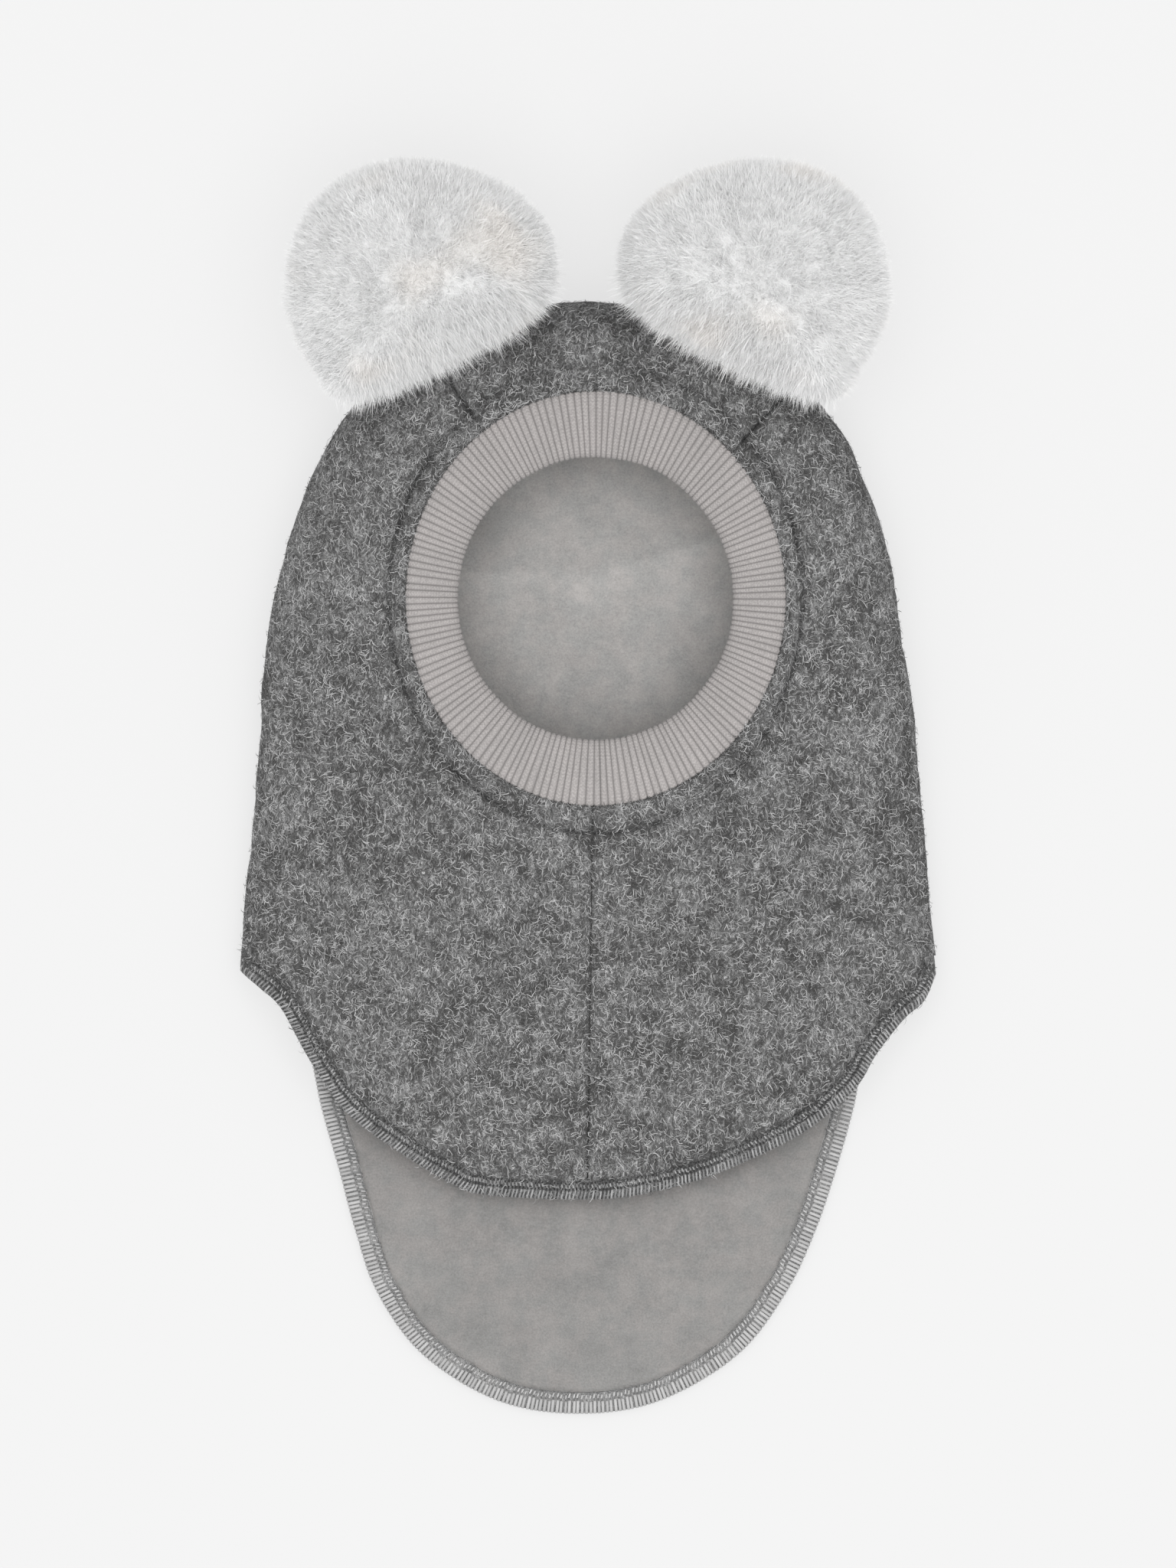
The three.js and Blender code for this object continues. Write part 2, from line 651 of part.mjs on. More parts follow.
function pompomBall(x, y, inwards) {
  const numbers = [x, y, 0];
  const faces = [];
  const [count, rows] = [pompomReach.length, 12];
  for (let k = 1; k < rows; k += 1) {
    const rise = Math.PI * (k / rows - 0.5);
    for (const { angle, reach } of pompomReach) {
      const turn = (angle * Math.PI) / 180;
      const wide = reach * Math.cos(rise);
      numbers.push(x + inwards * wide * Math.cos(turn), y + wide * Math.sin(turn), pompomHalf * (1 + Math.sin(rise)));
    }
  }
  numbers.push(x, y, 2 * pompomHalf);
  const face = (a, b, c) => faces.push(...(inwards > 0 ? [a, b, c] : [b, a, c]));
  const last = numbers.length / 3 - 1;
  for (let i = 0; i < count; i += 1) {
    const j = (i + 1) % count;
    face(0, 1 + j, 1 + i);
    for (let k = 0; k + 2 < rows; k += 1) {
      const [a, b] = [1 + k * count + i, 1 + k * count + j];
      face(a, b, b + count);
      face(a, b + count, a + count);
    }
    face(last - count + i, last - count + j, last);
  }
  return meshGeometry(numbers, faces);
}

const bite = toSolid(crownBite());
for (const { name, x, y, inwards } of pompoms) {
  addPiece(name, fromSolid(toSolid(pompomBall(x, y, inwards)).subtract(bite)), pompomWhite, 0.95);
}

export default hat;
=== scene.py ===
import json
import math

import bpy
import numpy as np
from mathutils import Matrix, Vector, noise
from mathutils.kdtree import KDTree

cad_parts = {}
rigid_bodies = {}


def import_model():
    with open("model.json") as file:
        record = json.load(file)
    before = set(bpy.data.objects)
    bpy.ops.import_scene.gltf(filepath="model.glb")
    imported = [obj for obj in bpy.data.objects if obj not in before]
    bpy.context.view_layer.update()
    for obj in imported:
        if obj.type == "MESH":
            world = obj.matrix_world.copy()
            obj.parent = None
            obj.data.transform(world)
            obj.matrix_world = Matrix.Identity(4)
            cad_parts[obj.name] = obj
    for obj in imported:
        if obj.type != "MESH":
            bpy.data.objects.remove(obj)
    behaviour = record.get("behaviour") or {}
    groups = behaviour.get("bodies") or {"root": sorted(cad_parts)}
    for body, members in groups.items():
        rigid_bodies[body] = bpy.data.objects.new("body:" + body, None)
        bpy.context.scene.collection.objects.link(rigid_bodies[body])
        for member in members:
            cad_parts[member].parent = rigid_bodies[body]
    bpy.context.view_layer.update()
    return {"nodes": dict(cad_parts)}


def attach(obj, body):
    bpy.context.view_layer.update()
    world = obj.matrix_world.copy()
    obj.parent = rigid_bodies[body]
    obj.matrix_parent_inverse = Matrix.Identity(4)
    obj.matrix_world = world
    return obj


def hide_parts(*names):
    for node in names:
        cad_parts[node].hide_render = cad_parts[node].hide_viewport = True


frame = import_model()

# Lengths are worked out in millimetres and turned to metres when a mesh is made.
mm = 0.001
degree = math.pi / 180

# ---- the lying hat's shape, as its panels were cut
face = {"x": 2.5, "y": 64.0}
band = {"wide": 64.5, "tall": 70.3}
hole = {"wide": 46.4, "tall": 47.7}
groove = {"wide": 70.5, "tall": 80.0}
cloth = {"wool": 2.2, "lining": 1.4, "seamGap": 0.3, "hemGap": 0.1, "hemWidth": 6.2,
         "hemBehind": 7.0, "hemThickness": 4.0, "bandGap": 0.12}
seams = {"rightCrown": 47.0, "leftCrown": 124.0, "front": 269.2}

# x, y, height of the fold, width of its roll: anticlockwise from under the neck
foldRows = [
    (2.5, -228, 5, 12), (46, -222, 5, 12), (86, -200, 5.5, 12), (110, -168, 6, 12),
    (118.5, -130, 6.5, 12), (120.2, -95, 7, 12), (118.8, -63.5, 7, 12), (116.5, -47, 7.5, 12),
    (115.5, -31.5, 8, 12), (114, -16, 9, 12.5), (112.5, 0, 10, 13), (111.5, 15, 11, 13.5),
    (110, 31, 12, 14), (106.5, 51.5, 13, 15), (103.5, 72.5, 14, 16), (98, 93, 15, 17),
    (90, 114, 16, 18), (82, 126, 17, 18), (69, 140, 18, 18), (50, 153, 18.5, 18),
    (26, 161.5, 19, 18), (0, 165, 19, 18), (-26, 161.5, 19, 18), (-50, 153, 18.5, 18),
    (-69, 140, 18, 18), (-82.5, 126, 17, 18), (-90, 114, 16, 18), (-99, 93, 15, 17),
    (-104.5, 72.5, 14, 16), (-109, 51.5, 13, 15), (-111, 31, 12, 14), (-111.5, 15, 11, 13.5),
    (-113, 0, 10, 13), (-114.5, -16, 9, 12.5), (-116, -31.5, 8, 12), (-117.5, -47, 7.5, 12),
    (-119, -62.6, 7, 12), (-120.5, -95, 7, 12), (-118.5, -130, 6.5, 12), (-109, -168, 6, 12),
    (-84, -200, 5.5, 12), (-44, -222, 5, 12),
]
# the bib's cut edge and the neck flap's, x and y from the left corner to the right one
bibRows = [
    (-119, -62.6), (-112, -68), (-104.5, -75), (-95, -92), (-82.5, -110), (-64, -124),
    (-45.5, -135), (-34, -138.5), (-2.5, -140), (16.5, -138.5), (37, -133.5), (53.5, -127),
    (74, -116.5), (90.5, -102.5), (98, -90.5), (107.5, -78.5), (114.5, -72.5), (118.8, -63.5),
]
flapRows = [
    (-119, -62.6), (-111.5, -68), (-103, -75.5), (-95, -90), (-90.5, -109.5), (-84.5, -130.5),
    (-79, -151), (-71.5, -172), (-56, -193), (-30.5, -208.5), (-3, -212.8), (24, -208.5),
    (50.5, -193), (67, -172), (77, -151), (84, -130.5), (90, -109.5), (94.5, -90), (105, -77),
    (113, -72), (118.8, -63.5),
]
# y and height of the front along its middle line
spineRows = [(-230, 11), (-140, 18), (-110, 22), (-80, 27), (-40, 35), (0, 42), (64, 46),
             (110, 48), (170, 48)]


def smoothLine(rows, closed):
    table = np.array(rows, float)
    last = len(table) if closed else len(table) - 1
    pick = lambda i: table[i % len(table)] if closed else table[min(max(i, 0), last)]
    line = []
    for i in range(last):
        p0, p1, p2, p3 = pick(i - 1), pick(i), pick(i + 1), pick(i + 2)
        for t in np.arange(12) / 12:
            bend = 2 * p0 - 5 * p1 + 4 * p2 - p3
            twist = 3 * p1 - p0 - 3 * p2 + p3
            line.append(0.5 * (2 * p1 + (p2 - p0) * t + bend * t * t + twist * t ** 3))
    line.append(pick(last))
    line = np.array(line)
    dx, dy = line[:, 0] - face["x"], line[:, 1] - face["y"]
    angle = np.degrees(np.unwrap(np.arctan2(dy, dx)))
    if not closed and angle[0] < 0:
        angle = angle + 360
    step = np.gradient(line[:, :2], axis=0)
    crossing = np.abs(np.sin(np.arctan2(step[:, 1], step[:, 0]) - np.arctan2(dy, dx)))
    along = np.concatenate([[0], np.cumsum(np.hypot(*np.diff(line[:, :2], axis=0).T))])
    result = {"angle": angle, "radius": np.hypot(dx, dy), "crossing": np.maximum(crossing, 0.5), "along": along}
    if table.shape[1] > 2:
        result["z"], result["roll"] = line[:, 2], line[:, 3]
    return result


foldLine, bibLine, flapLine = smoothLine(foldRows, True), smoothLine(bibRows, False), smoothLine(flapRows, False)
leftCorner, rightCorner = bibLine["angle"][0], bibLine["angle"][-1] - 360


def isOpen(angle):
    return (angle > leftCorner + 1e-6) & (angle < rightCorner + 360 - 1e-6)


def onLine(line, key, angle):
    if line is foldLine:
        angle = np.where(angle > 270.4, angle - 360, angle)
    return np.interp(angle, line["angle"], line[key])


def onEllipse(size, angle):
    return 1 / np.hypot(np.cos(angle * degree) / size["wide"], np.sin(angle * degree) / size["tall"])


def edgeOf(angle, key, side):
    openLine = bibLine if side == "front" else flapLine
    return np.where(isOpen(angle), onLine(openLine, key, angle), onLine(foldLine, key, angle))


def heights(angle, radius, side):
    edge = onLine(foldLine, "radius", angle)
    z, roll, crossing = (onLine(foldLine, key, angle) for key in ("z", "roll", "crossing"))
    turn = np.maximum(0, 1 - (edge - radius) / (roll / crossing))
    rounded = np.sqrt(np.maximum(0, 1 - turn * turn))
    if side == "back":
        return z * (1 - rounded)
    y = face["y"] + radius * np.sin(angle * degree)
    spine = np.interp(y, *np.array(spineRows, float).T)
    return z + z * rounded + (spine - 2 * z) * (1 - (radius / edge) ** 2)


cutSteps = 90


def cutsAt(angles, side):
    near = np.sin(np.linspace(0, 90, cutSteps + 1) * degree)[None, :]
    a = np.asarray(angles, float)[:, None]
    stop = edgeOf(a, "radius", side)
    start = onEllipse(band, a) if side == "front" else 0 * a
    r = start + (stop - start) * near
    if side == "back":
        r = r[:, ::-1]
    z = heights(a, r, side)
    length = np.concatenate([0 * a, np.cumsum(np.hypot(np.diff(r), np.diff(z)), axis=1)], axis=1)
    return r, z, length


tip = {"left": (-119.2, -63.2), "right": (119.0, -64.0), "reach": 6.0, "pull": 0.35}


def roundTips(points):
    # the two corners where bib and flap part are worn round
    for x, y in (tip["left"], tip["right"]):
        away = np.hypot(points[..., 0] - x, points[..., 1] - y)
        pull = tip["pull"] * np.clip(1 - away / tip["reach"], 0, 1) ** 2
        points[..., 0] -= np.sign(x) * pull * 0.8
        points[..., 1] += pull * 0.4
    return points


def clothPoints(angles, side, lengths):
    angles = np.asarray(angles, float)
    here = cutsAt(angles, side)
    other = cutsAt(angles, "back" if side == "front" else "front")
    out = np.zeros(lengths.shape + (3,))
    openHere = isOpen(angles)
    for i, angle in enumerate(angles):
        r, z, walk = (part[i] for part in here)
        if not openHere[i]:  # the cloth runs on over the fold
            r2, z2, walk2 = (part[i] for part in other)
            if side == "front":
                r, z = np.append(r, r2[1:]), np.append(z, z2[1:])
                walk = np.append(walk, walk[-1] + walk2[1:])
            else:
                r, z = np.append(r2[:-1], r), np.append(z2[:-1], z)
                walk = np.append(walk2[:-1] - walk2[-1], walk)
        radius = np.interp(lengths[i], walk, r)
        out[i, :, 0] = face["x"] + radius * math.cos(angle * degree)
        out[i, :, 1] = face["y"] + radius * math.sin(angle * degree)
        out[i, :, 2] = np.interp(lengths[i], walk, z)
    return roundTips(out)


def waysOut(angles, side, lengths, edgeRow):
    angles = np.asarray(angles, float)
    total = cutsAt(angles, side)[2][:, -1:]
    share, openHere, step = lengths / total, isOpen(angles), 0.3
    corner = (np.abs(angles - leftCorner) < 1e-6), (np.abs(angles - rightCorner) < 1e-6)
    turned = [angles - np.where(corner[1], 0, step), angles + np.where(corner[0], 0, step)]
    beside = [clothPoints(a, side, share * cutsAt(a, side)[2][:, -1:]) for a in turned]
    atEdge = openHere[:, None] & edgeRow[None, :]
    ahead = np.where(atEdge & (side == "front"), 0, step)
    behind = np.where(atEdge & (side == "back"), 0, step)
    along = clothPoints(angles, side, lengths + ahead) - clothPoints(angles, side, lengths - behind)
    out = np.cross(along, beside[1] - beside[0])
    return out / np.maximum(np.linalg.norm(out, axis=2, keepdims=True), 1e-9)


# ---- the grid that every cloth piece is cut from: columns are rays from the face
hemBlock = {}
for hand, corner, way in (("right", rightCorner, 1), ("left", leftCorner, -1)):
    at = np.interp(corner, foldLine["angle"], foldLine["along"]) + way * cloth["hemWidth"]
    hemBlock[hand] = float(np.interp(at, foldLine["along"], foldLine["angle"]))


def makeColumns(sideCount, crownCount, bibCount):
    columns = []
    gap, half = 0.06, cloth["seamGap"] / 2
    add = lambda sector, angles, shift=0: columns.extend((sector, float(a), shift) for a in angles)
    inside = lambda low, high, count: np.linspace(low, high, count + 2)[1:-1]
    nearSeam = np.array([0.45, 1.0, 1.7, 2.6])
    add("right corner", [rightCorner, *inside(rightCorner, hemBlock["right"], 3)])
    add("right corner gap", [hemBlock["right"]])
    add("right side", [hemBlock["right"] + gap])
    add("right side", inside(hemBlock["right"] + gap, seams["rightCrown"] - 3.4, sideCount))
    add("right side", seams["rightCrown"] - nearSeam[::-1])
    add("right crown seam", [seams["rightCrown"]], -half)
    add("crown", [seams["rightCrown"]], half)
    add("crown", seams["rightCrown"] + nearSeam)
    add("crown", inside(seams["rightCrown"] + 3.4, seams["leftCrown"] - 3.4, crownCount))
    add("crown", seams["leftCrown"] - nearSeam[::-1])
    add("left crown seam", [seams["leftCrown"]], -half)
    add("left side", [seams["leftCrown"]], half)
    add("left side", seams["leftCrown"] + nearSeam)
    add("left side", inside(seams["leftCrown"] + 3.4, hemBlock["left"] - gap, sideCount))
    add("left corner gap", [hemBlock["left"] - gap])
    add("left corner", [hemBlock["left"], *inside(hemBlock["left"], leftCorner, 3)])
    add("bib left", [leftCorner, *(leftCorner + np.array([0.35, 0.7, 1.1, 1.5, 1.9, 2.3, 2.8]))])
    add("bib left", inside(leftCorner + 2.8, seams["front"] - 1.8, bibCount))
    add("bib left", seams["front"] - nearSeam[::-1] * 0.5)
    add("front seam", [seams["front"]], -half)
    add("bib right", [seams["front"]], half)
    add("bib right", seams["front"] + nearSeam * 0.5)
    add("bib right", inside(seams["front"] + 1.8, rightCorner + 357.2, bibCount))
    add("bib right", rightCorner + 360 - np.array([2.8, 2.3, 1.9, 1.5, 1.1, 0.7, 0.35]))
    return columns


def makeRows(panelCount, backCount):
    front = [("roll", "band", v) for v in (cloth["bandGap"], 1.1, 1.9, 2.7, 3.5, 4.2)]
    front += [("roll", "groove", v) for v in (-1.5, -0.9, -0.4)]
    front += [("panel", "groove", v) for v in (0, 0.4, 0.9, 1.5, 2.4, 3.4)]
    front += [("panel", "share", k / panelCount) for k in range(panelCount)]
    front += [("gap", "edge", cloth["hemWidth"] + cloth["hemGap"])]
    front += [("hem", "edge", v) for v in (cloth["hemWidth"], 4.8, 3.5, 2.4, 1.4, 0.7, 0.25)]
    front += [("end", "edge", 0)]
    back = [("hem", "edge", v) for v in (0, 0.25, 0.7, 1.4, 2.4, 3.8, 5.4)]
    back += [("gap", "edge", cloth["hemBehind"])]
    back += [("back", "edge", v) for v in (cloth["hemBehind"] + cloth["hemGap"], 9, 11, 13, 16, 18.5)]
    back += [("back", "share", k / backCount) for k in range(backCount)]
    back += [("end", "share", 1)]
    return front, back


def rowLengths(angles, rows, side):
    a = np.asarray(angles, float)
    total = cutsAt(a, side)[2][:, -1]
    crossing = edgeOf(a, "crossing", side)
    grooveStart = onEllipse(groove, a) - onEllipse(band, a)
    if side == "front":
        start, stop = grooveStart + 4.5, total - (cloth["hemWidth"] + cloth["hemGap"]) / crossing
    else:
        start, stop = 21 / crossing, total
    lengths = []
    for strip, kind, value in rows:
        if kind == "band":
            lengths.append(np.full(len(a), float(value)))
        elif kind == "groove":
            lengths.append(grooveStart + value)
        elif kind == "share":
            lengths.append(start + (stop - start) * value)
        else:
            lengths.append(total - value / crossing if side == "front" else value / crossing)
    return np.array(lengths).T


def lump(point, size, seed):
    return noise.noise(Vector(point) / size + Vector((seed * 7.3, seed * 3.1, seed)))


def makeGrid(counts, panelCount, backCount):
    columns = makeColumns(*counts)
    rows = dict(zip(("front", "back"), makeRows(panelCount, backCount)))
    angles = np.array([c[1] for c in columns])
    shifts = np.array([c[2] for c in columns])
    grid = {"columns": columns, "rows": rows, "places": [], "outs": [], "fromBand": [], "fromEdge": [],
            "along": [], "side": [], "index": {}}
    grid["places"].append(np.array([[face["x"], face["y"], 0]]))
    grid["outs"].append(np.array([[0, 0, -1.0]]))
    for key, value in (("fromBand", 999.0), ("fromEdge", 99.0), ("along", 0.0), ("side", 1.0)):
        grid[key].append(np.array([value]))
    count = 1
    openColumn = isOpen(angles)
    for side in ("front", "back"):
        lengths = rowLengths(angles, rows[side], side)
        total = cutsAt(angles, side)[2][:, -1:]
        places = clothPoints(angles, side, lengths)
        outs = waysOut(angles, side, lengths, np.array([r[1] == "edge" and r[2] == 0 for r in rows[side]]))
        split = np.array([side == "front" or r[1] == "edge" for r in rows[side]])  # seams end behind the fold
        places[:, :, 0] -= (shifts * np.sin(angles * degree))[:, None] * split
        places[:, :, 1] += (shifts * np.cos(angles * degree))[:, None] * split
        if side == "front":
            outs[:, 0] = (0, 0, 1)
        else:
            outs[places[:, :, 2] < 1e-6] = (0, 0, -1)
        crossing = edgeOf(angles, "crossing", side)[:, None]
        fromEdge = (total - lengths if side == "front" else lengths) * crossing
        openLine = bibLine if side == "front" else flapLine
        along = np.repeat(onLine(openLine, "along", angles)[:, None], lengths.shape[1], axis=1)
        index = np.zeros(lengths.shape, int)
        for k in range(lengths.shape[1]):
            keep = np.ones(len(angles), bool)
            if side == "back" and k == lengths.shape[1] - 1:
                keep[:] = False
            if side == "back" and k == 0:
                keep = openColumn
            index[keep, k] = count + np.arange(keep.sum())
            count += keep.sum()
            if side == "back" and k == 0:
                index[~keep, 0] = grid["index"]["front"][~keep, -1]
            grid["places"].append(places[keep, k])
            grid["outs"].append(outs[keep, k])
            fromBand = lengths[keep, k] if side == "front" else np.full(keep.sum(), 999.0)
            grid["fromBand"].append(fromBand)
            grid["fromEdge"].append(fromEdge[keep, k])
            grid["along"].append(along[keep, k])
            grid["side"].append(np.full(keep.sum(), 0.0 if side == "front" else 1.0))
        grid["index"][side] = index
    for key in ("places", "outs", "fromBand", "fromEdge", "along", "side"):
        grid[key] = np.concatenate(grid[key])
    angleOf = np.degrees(np.arctan2(grid["places"][:, 1] - face["y"], grid["places"][:, 0] - face["x"]))
    grid["angle"] = np.where(angleOf < -89.9, angleOf + 360, angleOf)
    grid["radius"] = np.hypot(grid["places"][:, 1] - face["y"], grid["places"][:, 0] - face["x"])
    edge = openColumn | (np.abs(angles - leftCorner) < 1e-6) | (np.abs(angles - rightCorner) < 1e-6)
    grid["onEdge"] = np.zeros(count, bool)
    grid["onEdge"][grid["index"]["front"][edge, -1]] = True
    grid["onEdge"][grid["index"]["back"][edge, 0]] = True
    return grid


openSectors = ("bib left", "front seam", "bib right")


def isFront(hand):
    def chosen(sector, strip, side):
        if "crown" in sector or sector == "front seam" or hand not in sector:
            return False
        if sector == hand + " side":
            return side == "front" or strip == "hem"
        return side == "front" and strip in ("roll", "panel")
    return chosen


def isCrownBack(sector, strip, side):
    return sector == "crown" or (side == "back" and strip == "back")


def isLining(sector, strip, side):
    hemmed = sector in openSectors or "corner" in sector
    return strip in ("roll", "panel", "back") if hemmed else True


def isHem(sector, strip, side):
    return strip == "hem" and (sector in openSectors or sector in ("left corner", "right corner"))


def cutWall(name, grid, chosen, outer, inner, material, attributes=()):
    quads = []
    columns = grid["columns"]
    for side in ("front", "back"):
        index, rows = grid["index"][side], grid["rows"][side]
        for k in range(len(rows) - 1):
            for i in range(len(columns)):
                if chosen(columns[i][0], rows[k][0], side):
                    j = (i + 1) % len(columns)
                    quads.append((index[i, k], index[j, k], index[j, k + 1], index[i, k + 1]))
    faces = [tuple(dict.fromkeys(q)) for q in quads]
    faces = [tuple(reversed(f)) for f in faces if len(f) > 2]
    edges = {}
    for f in faces:
        for a, b in zip(f, f[1:] + f[:1]):
            if edges.pop((b, a), None) is None:
                edges[(a, b)] = True
    used = np.unique(np.concatenate([np.array(f) for f in faces]))
    order = np.full(len(grid["places"]), -1)
    order[used] = np.arange(len(used))
    n = len(used)
    outside = grid["places"][used] - grid["outs"][used] * outer[used][:, None]
    inside = grid["places"][used] - grid["outs"][used] * inner[used][:, None]
    built = [tuple(int(order[v]) for v in f) for f in faces]
    built += [tuple(int(order[v]) + n for v in reversed(f)) for f in faces]
    built += [(int(order[b]), int(order[a]), int(order[a]) + n, int(order[b]) + n) for a, b in edges]
    piece = makePiece(name, np.concatenate([outside, inside]), built, material)
    piece.data.attributes.new("inside", "FLOAT", "POINT").data.foreach_set("value", np.repeat([0.0, 1.0], n))
    for key, values in attributes:
        data = np.concatenate([values[used], values[used]]).astype(np.float32)
        piece.data.attributes.new(key, "FLOAT", "POINT").data.foreach_set("value", data)
    return piece


def makePiece(name, points, faces, material, smooth=True):
    mesh = bpy.data.meshes.new(name)
    mesh.from_pydata((np.asarray(points) * mm).tolist(), [], faces)
    mesh.materials.append(material)
    if smooth:
        mesh.polygons.foreach_set("use_smooth", np.ones(len(faces), bool))
    mesh.update()
    piece = bpy.data.objects.new(name, mesh)
    bpy.context.scene.collection.objects.link(piece)
    return piece


# ---- shader groups that several materials share
def newGroup(name, inputs, outputs):
    group = bpy.data.node_groups.new(name, "ShaderNodeTree")
    for label, kind, value in inputs:
        socket = group.interface.new_socket(label, in_out="INPUT", socket_type=kind)
        if value is not None:
            socket.default_value = value
    for label, kind in outputs:
        group.interface.new_socket(label, in_out="OUTPUT", socket_type=kind)
    return group, group.nodes.new("NodeGroupInput").outputs, group.nodes.new("NodeGroupOutput").inputs


def add(tree, kind, settings=None, **sockets):
    node = tree.nodes.new(kind)
    for key, value in (settings or {}).items():
        setattr(node, key, value)
    for key, value in sockets.items():
        socket = node.inputs[int(key[1:])] if key[0] == "i" and key[1:].isdigit() else node.inputs[key.replace("_", " ")]
        if isinstance(value, bpy.types.NodeSocket):
            tree.links.new(value, socket)
        else:
            socket.default_value = value
    return node


def math2(tree, operation, a, b=0.0, clamp=False):
    return add(tree, "ShaderNodeMath", {"operation": operation, "use_clamp": clamp}, i0=a, i1=b).outputs[0]


def ramp(tree, value, low, high):
    node = add(tree, "ShaderNodeMapRange", {"interpolation_type": "SMOOTHSTEP"}, Value=value)
    node.inputs["From Min"].default_value = low
    node.inputs["From Max"].default_value = high
    return node.outputs[0]


def mixColor(tree, factor, a, b, blend="MIX"):
    node = tree.nodes.new("ShaderNodeMix")
    node.data_type, node.blend_type = "RGBA", blend
    for socket, value in ((node.inputs[0], factor), (node.inputs[6], a), (node.inputs[7], b)):
        if isinstance(value, bpy.types.NodeSocket):
            tree.links.new(value, socket)
        else:
            socket.default_value = value
    return node.outputs[2]


def grey(value, warmth=0.0):
    return (value * (1 + warmth), value, value * (1 - warmth), 1)


def makeHeather():
    # curly light and dark fibres felted together, in uneven clouds
    color, number, vector = "NodeSocketColor", "NodeSocketFloat", "NodeSocketVector"
    group, given, out = newGroup(
        "heather",
        [("Vector", vector, None), ("Dark", color, grey(0.07)), ("Middle", color, grey(0.2)),
         ("Light", color, grey(0.42)), ("Cloud Scale", number, 150.0), ("Fibre Scale", number, 2100.0)],
        [("Color", color), ("Height", number), ("Cloud", number)])
    put = lambda kind, settings=None, **sockets: add(group, kind, settings, **sockets)
    warp = put("ShaderNodeTexNoise", Vector=given["Vector"], Scale=520.0, Detail=3.0)
    offset = put("ShaderNodeVectorMath", {"operation": "SUBTRACT"}, i0=warp.outputs["Color"], i1=(0.5, 0.5, 0.5))
    bent = put("ShaderNodeVectorMath", {"operation": "MULTIPLY_ADD"}, i0=offset.outputs[0],
               i1=(0.0038, 0.0038, 0.0038), i2=given["Vector"]).outputs[0]
    clouds = put("ShaderNodeTexNoise", Vector=given["Vector"], Scale=given["Cloud Scale"], Detail=8.0, Roughness=0.72)
    wide = put("ShaderNodeTexNoise", Vector=given["Vector"], Scale=52.0, Detail=3.0)
    streaks = []
    for turn, seed in ((0.35, 1), (1.35, 2), (2.4, 3)):
        spun = put("ShaderNodeMapping", Vector=bent, Rotation=(0, 0, turn), Location=(seed * 0.37, seed * 0.11, 0))
        spun.inputs["Scale"].default_value = (1.0, 0.2, 0.5)
        streak = put("ShaderNodeTexNoise", Vector=spun.outputs[0], Scale=given["Fibre Scale"], Detail=1.5)
        streaks.append(streak.outputs["Fac"])
    fibre = math2(group, "MAXIMUM", math2(group, "MAXIMUM", streaks[0], streaks[1]), streaks[2])
    hollow = math2(group, "MINIMUM", math2(group, "MINIMUM", streaks[0], streaks[1]), streaks[2])
    lights = ramp(group, fibre, 0.53, 0.7)
    darks = ramp(group, hollow, 0.46, 0.31)
    blend = math2(group, "ADD", math2(group, "MULTIPLY", clouds.outputs["Fac"], 0.68),
                  math2(group, "MULTIPLY", wide.outputs["Fac"], 0.32))
    cloud = ramp(group, blend, 0.4, 0.6)
    base = mixColor(group, cloud, given["Dark"], given["Middle"])
    lit = math2(group, "MULTIPLY", lights, add(group, "ShaderNodeMath", {"operation": "MULTIPLY_ADD"},
                                               i0=cloud, i1=0.6, i2=0.35).outputs[0])
    base = mixColor(group, lit, base, given["Light"])
    shade = math2(group, "MULTIPLY", darks, 0.75)
    group.links.new(mixColor(group, shade, base, given["Dark"]), out["Color"])
    raised = math2(group, "ADD", lights, math2(group, "MULTIPLY", cloud, 0.5))
    group.links.new(math2(group, "SUBTRACT", raised, darks), out["Height"])
    group.links.new(cloud, out["Cloud"])
    return group


def makePile():
    # short dense pile of velour: soft blotches where it leans, brushed streaks and a fine grain
    color, number, vector = "NodeSocketColor", "NodeSocketFloat", "NodeSocketVector"
    group, given, out = newGroup(
        "pile",
        [("Vector", vector, None), ("Base", color, grey(0.35)), ("Warm", color, grey(0.36, 0.05)),
         ("Cool", color, grey(0.34, -0.02)), ("Grain", number, 1500.0)],
        [("Color", color), ("Height", number)])
    put = lambda kind, settings=None, **sockets: add(group, kind, settings, **sockets)
    tint = put("ShaderNodeTexNoise", Vector=given["Vector"], Scale=150.0, Detail=5.0)
    lean = put("ShaderNodeTexNoise", Vector=given["Vector"], Scale=75.0, Detail=8.0, Roughness=0.8)
    grain = put("ShaderNodeTexNoise", Vector=given["Vector"], Scale=given["Grain"], Detail=2.0, Roughness=0.7)
    wide = put("ShaderNodeMapping", Vector=given["Vector"])
    wide.inputs["Scale"].default_value = (0.4, 1.0, 1.0)
    brushed = put("ShaderNodeTexNoise", Vector=wide.outputs[0], Scale=420.0, Detail=4.0, Roughness=0.65)
    colour = mixColor(group, ramp(group, tint.outputs["Fac"], 0.38, 0.62), given["Cool"], given["Warm"])
    colour = mixColor(group, 0.4, colour, given["Base"])
    total = math2(group, "ADD", math2(group, "MULTIPLY", lean.outputs["Fac"], 0.8),
                  math2(group, "MULTIPLY", grain.outputs["Fac"], 0.62))
    total = math2(group, "ADD", total, math2(group, "MULTIPLY", brushed.outputs["Fac"], 0.16))
    scaled = put("ShaderNodeVectorMath", {"operation": "SCALE"}, i0=colour)
    group.links.new(math2(group, "ADD", total, 0.21), scaled.inputs["Scale"])
    group.links.new(scaled.outputs[0], out["Color"])
    group.links.new(math2(group, "ADD", grain.outputs["Fac"], brushed.outputs["Fac"]), out["Height"])
    return group


